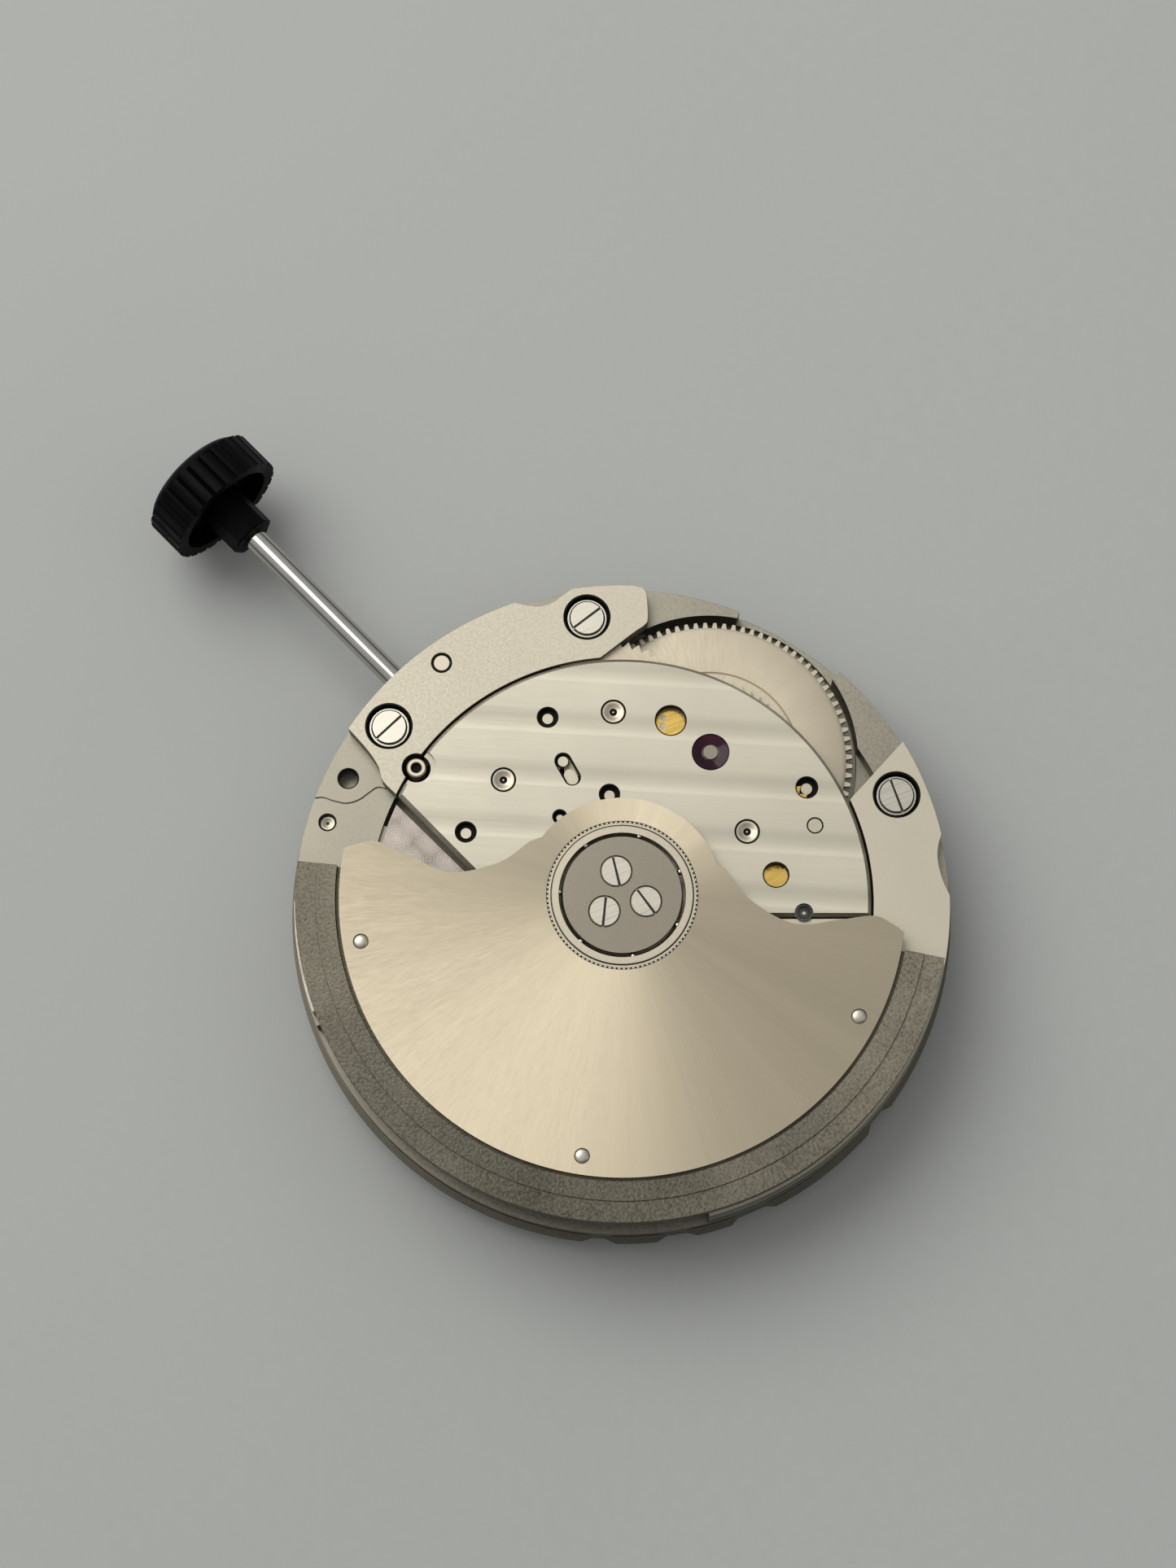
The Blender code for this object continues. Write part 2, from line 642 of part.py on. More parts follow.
def main_plate():
    base = PLATE_TOP - RUN_IN
    edge = CASING_RADIUS - 2 * FIT
    rim = flat(0, FLANGE_HEIGHT, rim_outline())
    stem_side = arc(edge, *STEM_WALL) + arc(RING_BRIDGE_INNER, STEM_WALL[1], LAND_START)
    stem_side += arc(WALL_INNER, LAND_START, STEM_WALL[0])
    ledge_top = WALL_TOP - COVER_THICKNESS - FIT
    additions = [
        disc(CASING_RADIUS - FIT, FLANGE_HEIGHT - RUN_IN, PLATE_TOP, sides=60),
        flat(base, WALL_TOP, stem_side),
        flat(base, WALL_TOP, sector(WALL_INNER, edge, *TRAIN_WALL)),
        flat(base, ledge_top, sector(COVER_LEDGE_INNER, RING_BRIDGE_INNER + RUN_IN, *COVER_LEDGE)),
    ]
    additions += [
        disc(radius, base, AUTO_BOTTOM - FIT, polar(distance, angle), 14)
        for distance, angle, radius in PILLARS
    ]
    barrel_tip = pitch_radius(BARREL_TEETH, BARREL_MODULE) + BARREL_MODULE
    above = WALL_TOP + RUN_IN
    cuts = [
        disc(DATE_RING_OUTER + PLAY, -RUN_IN, DATE_FLOOR, sides=48),
        disc(WORKS_RADIUS, 0, WORKS_FLOOR, sides=36),
        disc(barrel_tip + RECESS_PLAY, BARREL_FLOOR, above, BARREL, 48),
        disc(BALANCE_RADIUS + RECESS_PLAY, BARREL_FLOOR, above, BALANCE, 32),
        disc(ESCAPE_RADIUS + RECESS_PLAY, BARREL_FLOOR - FIT, above, ESCAPE, 16),
        disc(ARBOR_RADIUS + PLAY, 0, above, (0, 0), 10),
        disc(ARBOR_RADIUS + PLAY, 0, above, THIRD, 10),
        disc(RELEASE_HOLE_RADIUS + 2 * PLAY, PLATE_TOP, above, LEVER_PIVOT),
        disc(PLATE_HOLE[2], PLATE_TOP, above, polar(*PLATE_HOLE[:2]), 12),
        disc(PLATE_JEWEL[2] + FIT, WALL_TOP - JEWEL_THICKNESS - FIT, above, polar(*PLATE_JEWEL[:2]), 12),
        *stem_tunnel(),
        *(hole for hole in all_screw_holes()[1::2]),
    ]
    place("main_plate", cut(joined(rim, *additions), *cuts), "plate")


def edge_notch(directions, depth):
    """A shallow bay in the casing edge of a ring bridge."""
    inner = CASING_RADIUS - depth
    return [polar(r, a) for r, a in zip((CASING_RADIUS, inner, inner, CASING_RADIUS), directions)]


def barrel_bridge():
    """The ring bridge over the stem and the edge of the barrel."""
    left_corner, left_turn, right_turn, right_corner = BARREL_BRIDGE_INSIDE
    left = [polar(CASING_RADIUS - drop, a) for drop, a in BARREL_BRIDGE_LEFT]
    right = [polar(CASING_RADIUS - drop, a) for drop, a in BARREL_BRIDGE_RIGHT]
    outline = (
        smooth([*left, polar(RING_BRIDGE_INNER, left_corner)])
        + arc(RING_BRIDGE_INNER, left_turn, right_turn)
        + smooth([polar(RING_BRIDGE_INNER, right_corner), *right])
        + arc(CASING_RADIUS, *BARREL_BRIDGE_OUTSIDE[0])
        + edge_notch(BARREL_NOTCH, BARREL_NOTCH_DEPTH)
        + arc(CASING_RADIUS, *BARREL_BRIDGE_OUTSIDE[1])
    )
    hole = circle(RING_HOLE[2], polar(*RING_HOLE[:2]), 12)
    body = flat(BRIDGE_BOTTOM, BRIDGE_TOP, outline, hole)
    release = disc(RELEASE_HOLE_RADIUS, BRIDGE_BOTTOM - RUN_IN, BRIDGE_TOP + RUN_IN, LEVER_PIVOT)
    reach = pitch_radius(INTERMEDIATE_TEETH, WINDING_MODULE) + WINDING_MODULE + PLAY
    pocket = disc(reach, BRIDGE_BOTTOM - RUN_IN, CROWN_POCKET_TOP, INTERMEDIATE, 30)
    place("barrel_bridge", cut(body, release, pocket, *all_screw_holes()[:4]), "plate")


def train_bridge():
    """The ring bridge on the other side, with the lobe that covers the train."""
    outline = (
        arc(RING_BRIDGE_INNER, *TRAIN_BRIDGE_INSIDE)
        + arc(CASING_RADIUS, *TRAIN_BRIDGE_OUTSIDE[0])
        + edge_notch(TRAIN_NOTCH, TRAIN_NOTCH_DEPTH)
        + arc(CASING_RADIUS, *TRAIN_BRIDGE_OUTSIDE[1])
    )
    lobe = arc(HUB_RADIUS + 4 * PLAY, *TRAIN_LOBE_INSIDE)
    lobe += arc(RING_BRIDGE_INNER + RUN_IN, *TRAIN_LOBE_OUTSIDE)
    body = joined(
        flat(BRIDGE_BOTTOM, BRIDGE_TOP, outline),
        flat(AUTO_BOTTOM, BRIDGE_TOP - RUN_IN, lobe),
    )
    place("train_bridge", cut(body, *all_screw_holes()[4:6]), "plate")


def automatic_bridge():
    """The striped bridge that carries the rotor's bearing and the winding wheels."""
    straight = math.sqrt(AUTO_RADIUS**2 - CUT_OFFSET**2)
    start = math.degrees(math.asin(CUT_OFFSET / AUTO_RADIUS))
    outline = arc(AUTO_RADIUS, AUTO_START, start) + [(straight / 2, CUT_OFFSET)]
    outline += arc(HUB_RADIUS, *AUTO_HUB_SPAN)
    holes = [circle(r, polar(d, a), 12) for d, a, r in (*WINDOWS, *BRIDGE_HOLES)]
    slot = strip(polar(*BRIDGE_SLOT[0]), polar(*BRIDGE_SLOT[1]), BRIDGE_SLOT[2])
    body = flat(AUTO_BOTTOM, AUTO_TOP, outline, slot, *holes)
    wheels = (
        (REVERSING, REVERSING_TEETH, POCKET_TOP),
        (INTERMEDIATE, INTERMEDIATE_TEETH, CROWN_POCKET_TOP),
        (CROWN_WHEEL, CROWN_WHEEL_TEETH, CROWN_POCKET_TOP),
    )
    below = AUTO_BOTTOM - RUN_IN
    above = AUTO_TOP + RUN_IN
    pockets = [
        disc(pitch_radius(teeth, WINDING_MODULE) + WINDING_MODULE + PLAY, below, top, at, 24)
        for at, teeth, top in wheels
    ]
    pockets.append(disc(RACE_TEETH_RADIUS + PLAY + FIT, WEB_TOP, above, sides=36))
    pockets.append(disc(RELEASE_HOLE_RADIUS, below, above, LEVER_PIVOT))
    pockets.append(disc(ARBOR_RADIUS + PLAY, below, WEB_TOP + RUN_IN, sides=12))
    seat = AUTO_TOP - JEWEL_THICKNESS - FIT
    pockets += [disc(r + FIT, seat, above, at, 14) for name, at, r in jewel_places()]
    pockets.append(disc(TRAIN_JEWEL[2], seat, above, polar(*TRAIN_JEWEL[:2]), 12))
    pockets.append(disc(ARBOR_RADIUS + PLAY, below, above, BARREL, 12))
    place("automatic_bridge", cut(body, *pockets), "bridge")


def jewel_places():
    return (
        ("barrel_jewel", BARREL, BARREL_JEWEL_RADIUS),
        ("reversing_jewel", REVERSING, PIVOT_JEWEL_RADIUS),
        ("intermediate_jewel", INTERMEDIATE, PIVOT_JEWEL_RADIUS),
        ("crown_wheel_jewel", CROWN_WHEEL, PIVOT_JEWEL_RADIUS),
    )


def jewels():
    for name, about, radius in jewel_places():
        top = AUTO_TOP - FIT
        bore = 2 * ARBOR_RADIUS if name == "barrel_jewel" else ARBOR_RADIUS
        look = "ruby" if name == "barrel_jewel" else "steel"
        place(name, ring(bore + FIT, radius, top - JEWEL_THICKNESS + FIT, top, about, 14), look, about)


def setting_cover():
    """The thin plate over the setting levers."""
    outline = [COVER_CORNER] + arc(RING_BRIDGE_INNER - PLAY, *COVER_SPAN)
    outline += smooth([*COVER_BACK, COVER_CORNER])[:-1]
    place("setting_cover", flat(WALL_TOP - COVER_THICKNESS, WALL_TOP, outline), "bridge")


def balance_cock():
    foot = flat(BRIDGE_BOTTOM, BRIDGE_TOP, sector(RING_BRIDGE_INNER, CASING_RADIUS, *COCK_FOOT))
    outline = [polar(*at) for at in COCK_ARM]
    outline += [polar(COCK_ARM_HALF, COCK_ARM_LEAN + turn, BALANCE) for turn in (0, 180)]
    arm = flat(BRIDGE_BOTTOM + RUN_IN, BRIDGE_TOP - RUN_IN, outline)
    boss = disc(COCK_BOSS_RADIUS, BRIDGE_BOTTOM + RUN_IN / 2, BRIDGE_TOP - RUN_IN / 2, BALANCE, 28)
    end = HAIRSPRING_START + HAIRSPRING_LOOPS * HAIRSPRING_PITCH
    stud_at = polar(end, heading(BALANCE, polar(*STUD_BEARING)), BALANCE)
    stud = disc(STUD_RADIUS, hairspring_height() + PLAY, BRIDGE_BOTTOM + 3 * RUN_IN, stud_at, 10)
    body = cut(joined(foot, arm, boss, stud), *all_screw_holes()[6:])
    place("balance_cock", body, "bridge")


def pallet_bridge():
    across = ESCAPE_ANGLE + 90
    half = PALLET_BRIDGE_LENGTH / 2
    outline = strip(polar(half, across, PALLET), polar(-half, across, PALLET), PALLET_BRIDGE_WIDTH / 2)
    bottom = PLATE_TOP + FIT
    place("pallet_bridge", flat(bottom, bottom + PALLET_BRIDGE_THICKNESS, outline), "bridge", PALLET)


# Rotor


def rotor_edge(side):
    """One wavy side of the rotor plate, from the hub out."""
    line = []
    for reach, rise in smooth(ROTOR_WAVE, 3):
        turn = 90 + math.degrees(math.atan2(rise, reach))
        line.append(polar(math.hypot(reach, rise), ROTOR_ANGLE + side * turn))
    return line


def rotor_plate():
    outline = (
        rotor_edge(-1)
        + arc(ROTOR_RADIUS, ROTOR_ANGLE - ROTOR_HALF_SPAN, ROTOR_ANGLE + ROTOR_HALF_SPAN)
        + rotor_edge(1)[::-1]
        + arc(COLLAR_RADIUS, ROTOR_ANGLE + ROTOR_HUB_START, ROTOR_ANGLE + 360 - ROTOR_HUB_START)
    )
    rivets = [circle(RIVET_RADIUS + FIT, polar(RIVET_CIRCLE, ROTOR_ANGLE + a), 10) for a in RIVET_ANGLES]
    bore = circle(RACE_TEETH_RADIUS + FIT, sides=36)
    body = flat(ROTOR_BOTTOM, ROTOR_TOP, outline, bore, *rivets)
    bore = RACE_TEETH_RADIUS + 2 * FIT
    collar = ring(bore, COLLAR_RADIUS - RUN_IN, ROTOR_BOTTOM + RUN_IN, HUB_TOP, sides=36)
    place("rotor_plate", joined(body, collar), "rotor")


def rotor_weight():
    """The heavy rim, riveted under the plate's edge with pins of its own."""
    span = (ROTOR_ANGLE - WEIGHT_HALF_SPAN, ROTOR_ANGLE + WEIGHT_HALF_SPAN)
    body = flat(WEIGHT_BOTTOM, HUB_TOP, sector(WEIGHT_INNER, WEIGHT_STEP, *span))
    rim = flat(
        WEIGHT_BOTTOM + FIT,
        HUB_TOP - RUN_IN,
        sector(WEIGHT_STEP - RUN_IN, WEIGHT_OUTER, *span),
    )
    ledge = flat(
        WEIGHT_BOTTOM + RUN_IN,
        ROTOR_BOTTOM - FIT,
        sector(LEDGE_INNER, WEIGHT_INNER + RUN_IN, span[0] + LEDGE_INSET, span[1] - LEDGE_INSET),
    )
    places = [polar(RIVET_CIRCLE, ROTOR_ANGLE + a) for a in RIVET_ANGLES]
    pins = [disc(RIVET_RADIUS, ROTOR_BOTTOM - 3 * RUN_IN, ROTOR_TOP + RUN_IN, at, 10) for at in places]
    place("rotor_weight", joined(body, rim, ledge, *pins), "weight")


def ball_height():
    return HUB_TOP - BALL_RADIUS - FIT


def bearing_core():
    """Inner race of the rotor's bearing, with the flat cap that three screws hold down."""
    groove = (CORE_RADIUS + RACE_INNER) / 2 - BALL_RADIUS - FIT
    low = ball_height() - BALL_RADIUS - FIT
    profile = [
        (0, HUB_TOP),
        (groove, HUB_TOP),
        (groove, low),
        (CORE_RADIUS, low - RUN_IN),
        (CORE_RADIUS, WEB_TOP + FIT),
        (0, WEB_TOP + FIT),
    ]
    body = turned(profile, 36)
    sockets = [
        disc(HUB_SCREW_RADIUS + FIT, HUB_TOP - SCREW_RECESS_DEPTH, HUB_TOP + RUN_IN, at)
        for at in hub_screw_places()
    ]
    place("bearing_core", cut(body, *sockets), "steel")


def hub_screw_places():
    return [polar(HUB_SCREW_CIRCLE, HUB_SCREW_ANGLE + 120 * i) for i in range(3)]


def hub_screws():
    for number, at in enumerate(hub_screw_places(), 1):
        length = SCREW_RECESS_DEPTH - FIT
        screw(f"hub_screw_{number}", at, HUB_TOP + FIT, length, HUB_SCREW_RADIUS, HUB_SCREW_RADIUS)


def bearing_balls():
    middle = (CORE_RADIUS + RACE_INNER) / 2
    for number in range(BALL_COUNT):
        at = polar(middle, BALL_ANGLE - 360 * number / BALL_COUNT)
        shape = bmesh.new()
        bmesh.ops.create_uvsphere(shape, u_segments=8, v_segments=5, radius=BALL_RADIUS)
        mesh = bpy.data.meshes.new("ball")
        shape.to_mesh(mesh)
        shape.free()
        mesh.transform(Matrix.Translation((*at, ball_height())))
        place(f"bearing_ball_{number + 1}", mesh, "steel", at, ball_height())


def rotor_bearing_ring():
    """Outer race, which the rotor turns with, and its winding teeth."""
    groove = (CORE_RADIUS + RACE_INNER) / 2 + BALL_RADIUS + FIT
    root = pitch_radius(ROTOR_PINION_TEETH, WINDING_MODULE) - DEDENDUM * WINDING_MODULE
    race = turned(
        [
            (groove, HUB_TOP),
            (RACE_OUTER, HUB_TOP),
            (RACE_OUTER, HUB_TOP - RUN_IN),
            (RACE_TEETH_RADIUS, HUB_TOP - RUN_IN),
            (RACE_TEETH_RADIUS, ROTOR_BOTTOM),
            (root - FIT, ROTOR_BOTTOM),
            (root - FIT, ROTOR_BOTTOM - 2 * RUN_IN),
            (groove, ROTOR_BOTTOM - 2 * RUN_IN),
        ],
        30,
    )
    teeth = flat(
        WINDING_BOTTOM,
        ROTOR_BOTTOM - RUN_IN,
        gear(ROTOR_PINION_TEETH, WINDING_MODULE, phase=heading((0, 0), REVERSING)),
        circle(RACE_INNER + FIT, sides=30),
    )
    place("rotor_bearing_ring", joined(race, teeth), "steel")


# Winding wheels


def arbored(about, bottom, top, *pieces, radius=ARBOR_RADIUS):
    """Pieces that sit on one arbor, joined to it."""
    return joined(disc(radius, bottom, top, about, 12), *pieces)


def reversing_wheels():
    outward = heading((0, 0), REVERSING)
    wheel_phase = mesh_phase(outward, ROTOR_PINION_TEETH, outward, REVERSING_TEETH)
    hole_step = 360 / REVERSING_HOLES
    hole_places = [polar(REVERSING_HOLE_CIRCLE, hole_step * i, REVERSING) for i in range(REVERSING_HOLES)]
    wheel = flat(
        WINDING_BOTTOM,
        WINDING_TOP,
        gear(REVERSING_TEETH, WINDING_MODULE, REVERSING, wheel_phase),
        circle(ARBOR_RADIUS + FIT, REVERSING, 12),
        *(circle(REVERSING_HOLE_RADIUS, at, 8) for at in hole_places),
    )
    place("reversing_wheel", wheel, "brass", REVERSING)
    phase = mesh_phase(0, RATCHET_TEETH, heading(BARREL, REVERSING), REVERSING_PINION_TEETH)
    teeth = gear(REVERSING_PINION_TEETH, WINDING_MODULE, REVERSING, phase, fine=True)
    pinion = flat(RATCHET_BOTTOM, RATCHET_TOP, teeth)
    shaft = arbored(REVERSING, RATCHET_TOP - RUN_IN, POCKET_TOP - FIT, pinion)
    place("reversing_pinion", shaft, "steel", REVERSING)


def intermediate_wheel():
    phase = mesh_phase(0, RATCHET_TEETH, heading(BARREL, INTERMEDIATE), INTERMEDIATE_PINION_TEETH)
    pinion = flat(
        RATCHET_BOTTOM,
        RATCHET_TOP,
        gear(INTERMEDIATE_PINION_TEETH, WINDING_MODULE, INTERMEDIATE, phase),
    )
    top = CROWN_WHEEL_BOTTOM + WINDING_THICKNESS
    wheel = flat(CROWN_WHEEL_BOTTOM, top, gear(INTERMEDIATE_TEETH, WINDING_MODULE, INTERMEDIATE))
    shaft = arbored(INTERMEDIATE, RATCHET_TOP - RUN_IN, top + FIT, pinion, wheel, radius=2 * ARBOR_RADIUS)
    place("intermediate_wheel", shaft, "brass", INTERMEDIATE)


def crown_wheel():
    """The wheel over the stem, which the winding pinion drives from below."""
    phase = mesh_phase(0, INTERMEDIATE_TEETH, heading(INTERMEDIATE, CROWN_WHEEL), CROWN_WHEEL_TEETH)
    top = CROWN_WHEEL_BOTTOM + WINDING_THICKNESS
    wheel = flat(CROWN_WHEEL_BOTTOM, top, gear(CROWN_WHEEL_TEETH, WINDING_MODULE, CROWN_WHEEL, phase))
    shaft = arbored(CROWN_WHEEL, CROWN_WHEEL_BOTTOM + RUN_IN, top + FIT, wheel, radius=3 * ARBOR_RADIUS)
    place("crown_wheel", shaft, "steel", CROWN_WHEEL)


def ratchet_and_arbor():
    square = 4 * ARBOR_RADIUS
    teeth = gear(RATCHET_TEETH, WINDING_MODULE, BARREL)
    ratchet = flat(RATCHET_BOTTOM, RATCHET_TOP, teeth, circle(square + FIT, BARREL))
    place("ratchet_wheel", ratchet, "steel", BARREL)
    drum_floor = BARREL_BOTTOM + COVER_THICKNESS
    core = disc(ARBOR_CORE, drum_floor + PLAY, BARREL_TOP - COVER_THICKNESS - PLAY, BARREL, 24)
    pivot = 2 * ARBOR_RADIUS
    shaft = disc(square, drum_floor + 2 * PLAY, RATCHET_TOP + PLAY, BARREL)
    top = disc(ARBOR_RADIUS, RATCHET_TOP, AUTO_TOP - FIT, BARREL, 12)
    foot = disc(pivot, BARREL_FLOOR + FIT, drum_floor + 3 * PLAY, BARREL, 12)
    place("barrel_arbor", joined(core, shaft, top, foot), "steel", BARREL)


def click():
    """The pawl that stops the ratchet wheel from unwinding."""
    pivot = polar(*BRIDGE_HOLES[3][:2])
    tip_radius = pitch_radius(RATCHET_TEETH, WINDING_MODULE) + WINDING_MODULE + 2 * PLAY
    tip = polar(tip_radius, heading(BARREL, pivot) + CLICK_LEAD, BARREL)
    side = Vector((-(tip[1] - pivot[1]), tip[0] - pivot[0])).normalized() * CLICK_ROOT_HALF
    beak = [tip, tuple(Vector(pivot) + side), tuple(Vector(pivot) - side)]
    body = joined(
        disc(CLICK_RADIUS, RATCHET_BOTTOM, RATCHET_TOP, pivot, 16),
        flat(RATCHET_BOTTOM + FIT, RATCHET_TOP - FIT, beak),
        disc(2 * ARBOR_RADIUS, RATCHET_TOP - RUN_IN, WEB_TOP - FIT, pivot),
    )
    place("click", body, "steel", pivot)


# Barrel


def barrel():
    root = pitch_radius(BARREL_TEETH, BARREL_MODULE) - DEDENDUM * BARREL_MODULE
    drum_outer = root - DRUM_WALL
    drum_inner = drum_outer - DRUM_WALL
    floor_top = BARREL_BOTTOM + COVER_THICKNESS
    cover_bottom = BARREL_TOP - COVER_THICKNESS
    teeth_bottom = cover_bottom - 3 * WHEEL_THICKNESS
    bore = 2 * ARBOR_RADIUS + PLAY
    cup = turned(
        [
            (drum_inner, cover_bottom - FIT),
            (drum_outer, cover_bottom - FIT),
            (drum_outer, BARREL_BOTTOM),
            (bore, BARREL_BOTTOM),
            (bore, floor_top),
            (drum_inner, floor_top),
        ],
        28,
    )
    cup.transform(Matrix.Translation((*BARREL, 0)))
    teeth = flat(
        teeth_bottom,
        cover_bottom - 2 * FIT,
        gear(BARREL_TEETH, BARREL_MODULE, BARREL, heading(BARREL, SECOND)),
        circle(drum_inner + RUN_IN, BARREL, 32),
    )
    place("barrel_drum", joined(cup, teeth), "steel", BARREL)
    cover_bore = 4 * ARBOR_RADIUS + PLAY
    place("barrel_cover", ring(cover_bore, root, cover_bottom, BARREL_TOP, BARREL, 48), "steel", BARREL)
    mainspring(ARBOR_CORE + 5 * PLAY, drum_inner - 3 * PLAY, floor_top + PLAY, cover_bottom - PLAY)


def mainspring(inner, outer, bottom, top):
    """A strip wound from the arbor to the drum's wall."""
    count = MAINSPRING_LOOPS * MAINSPRING_POINTS
    pitch = (outer - inner - MAINSPRING_STRIP) / MAINSPRING_LOOPS
    path = [(inner + pitch * i / MAINSPRING_POINTS, 360 * i / MAINSPRING_POINTS) for i in range(count + 1)]
    outline = [polar(r + MAINSPRING_STRIP, a, BARREL) for r, a in path]
    outline += [polar(r, a, BARREL) for r, a in reversed(path)]
    print(f"mainspring: least gap between turns {pitch - MAINSPRING_STRIP:.3f} mm")
    place("mainspring", flat(bottom, top, outline), "spring", BARREL)


# Going train


def train_wheels():
    second_pinion = mesh_phase(
        heading(BARREL, SECOND), BARREL_TEETH, heading(BARREL, SECOND), SECOND_PINION_TEETH
    )
    to_third = heading(SECOND, THIRD)
    third_pinion = mesh_phase(to_third, SECOND_TEETH, to_third, THIRD_PINION_TEETH)
    to_fourth = heading(THIRD, (0, 0))
    fourth_pinion = mesh_phase(to_fourth, THIRD_TEETH, to_fourth, FOURTH_PINION_TEETH)
    teeth_top = BARREL_TOP - COVER_THICKNESS - PLAY
    teeth_bottom = teeth_top - 3 * WHEEL_THICKNESS
    second = arbored(
        SECOND,
        PLATE_TOP + FIT,
        AUTO_BOTTOM - FIT,
        flat(teeth_bottom, teeth_top, gear(SECOND_PINION_TEETH, BARREL_MODULE, SECOND, second_pinion, True)),
        wheel_with_holes(SECOND_BOTTOM, SECOND_TEETH, SECOND, to_third),
    )
    place("second_wheel", second, "brass", SECOND)
    third = arbored(
        THIRD,
        DRIVE_BOTTOM + FIT,
        AUTO_BOTTOM - FIT,
        flat(
            SECOND_BOTTOM - RUN_IN / 2,
            SECOND_BOTTOM + WHEEL_THICKNESS,
            gear(THIRD_PINION_TEETH, TRAIN_MODULE, THIRD, third_pinion, True),
        ),
        wheel_with_holes(THIRD_BOTTOM, THIRD_TEETH, THIRD, to_fourth),
        flat(
            DRIVE_BOTTOM,
            DRIVE_BOTTOM + WHEEL_THICKNESS,
            gear(DRIVE_PINION_TEETH, DRIVE_MODULE, THIRD, to_fourth, True),
        ),
    )
    place("third_wheel", third, "brass", THIRD)
    to_escape = heading((0, 0), ESCAPE)
    fourth = arbored(
        (0, 0),
        -POST_LENGTH,
        WEB_TOP - FIT,
        flat(
            THIRD_BOTTOM - RUN_IN / 2,
            THIRD_BOTTOM + WHEEL_THICKNESS,
            gear(FOURTH_PINION_TEETH, TRAIN_MODULE, (0, 0), fourth_pinion, True),
        ),
        wheel_with_holes(FOURTH_BOTTOM, FOURTH_TEETH, (0, 0), to_escape, ESCAPE_MODULE),
    )
    place("fourth_wheel", fourth, "brass")
    escape_wheel(mesh_phase(to_escape, FOURTH_TEETH, to_escape, ESCAPE_PINION_TEETH))


def wheel_with_holes(bottom, teeth, about, phase, module=TRAIN_MODULE):
    """A train wheel, lightened by round holes between its arms."""
    rim = pitch_radius(teeth, module)
    step = 360 / WHEEL_HOLES
    places = [polar(WHEEL_HOLE_REACH * rim, WHEEL_HOLE_START + step * i, about) for i in range(WHEEL_HOLES)]
    holes = [circle(WHEEL_HOLE_SHARE * rim, at, 8) for at in places]
    return flat(bottom, bottom + WHEEL_THICKNESS, gear(teeth, module, about, phase), *holes)


def escape_wheel(pinion_phase):
    bottom = BARREL_FLOOR + PLAY
    tooth = ((0.0, ESCAPE_RADIUS), (ESCAPE_TIP_SHARE, ESCAPE_RADIUS), (ESCAPE_HEEL_SHARE, ESCAPE_ROOT))
    pitch = 360 / ESCAPE_TEETH
    outline = [polar(r, pitch * (i + share), ESCAPE) for i in range(ESCAPE_TEETH) for share, r in tooth]
    wheel = flat(bottom, bottom + WHEEL_THICKNESS, outline)
    pinion = flat(
        FOURTH_BOTTOM - RUN_IN / 2,
        FOURTH_BOTTOM + WHEEL_THICKNESS,
        gear(ESCAPE_PINION_TEETH, ESCAPE_MODULE, ESCAPE, pinion_phase, True),
    )
    shaft = arbored(ESCAPE, BARREL_FLOOR + FIT, AUTO_BOTTOM - FIT, wheel, pinion, radius=ARBOR_RADIUS)
    place("escape_wheel", shaft, "steel", ESCAPE)


def pallet_fork():
    bottom = BARREL_FLOOR + PLAY
    top = bottom + WHEEL_THICKNESS
    inner = ESCAPE_RADIUS + ANCHOR_CLEARANCE
    start, end = ESCAPE_ANGLE - ANCHOR_HALF_SPAN, ESCAPE_ANGLE + ANCHOR_HALF_SPAN
    anchor = arc(inner + ANCHOR_THICKNESS, start, end, ESCAPE) + arc(inner, end, start, ESCAPE)
    reach = BALANCE_DISTANCE - math.dist(PALLET, (0, 0)) - ROLLER_RADIUS - 2 * PLAY
    lever = strip(PALLET, polar(reach, ESCAPE_ANGLE, PALLET), FORK_HALF_WIDTH)
    body = joined(
        flat(bottom, top, anchor),
        flat(bottom + FIT, top - FIT, lever),
        disc(PALLET_HUB_RADIUS, bottom + FIT / 2, PLATE_TOP - FIT, PALLET, 14),
    )
    place("pallet_fork", body, "steel", PALLET)


def balance_bottom():
    return PLATE_TOP + FIT + PALLET_BRIDGE_THICKNESS + 2 * PLAY


def hairspring_height():
    return balance_bottom() + BALANCE_THICKNESS + HAIRSPRING_WIRE + 2 * PLAY


def balance_wheel():
    bottom = balance_bottom()
    inner = BALANCE_RADIUS - BALANCE_RIM
    gaps = []
    for turn in (ESCAPE_ANGLE, ESCAPE_ANGLE + 180):
        lean = math.degrees(math.asin(BALANCE_ARM_HALF / inner))
        hub_lean = math.degrees(math.asin(BALANCE_ARM_HALF / BALANCE_HUB_RADIUS))
        gaps.append(
            arc(inner, turn + lean, turn + 180 - lean, BALANCE, 12)
            + arc(BALANCE_HUB_RADIUS, turn + 180 - hub_lean, turn + hub_lean, BALANCE, 30)
        )
    rim = flat(bottom, bottom + BALANCE_THICKNESS, circle(BALANCE_RADIUS, BALANCE, 40), *gaps)
    staff = disc(ARBOR_RADIUS, BARREL_FLOOR + FIT, BRIDGE_BOTTOM - FIT, BALANCE, 12)
    roller_bottom = BARREL_FLOOR + 2 * PLAY
    roller = disc(ROLLER_RADIUS, roller_bottom, roller_bottom + 2 * WHEEL_THICKNESS, BALANCE, 18)
    place("balance_wheel", joined(rim, staff, roller), "brass", BALANCE)


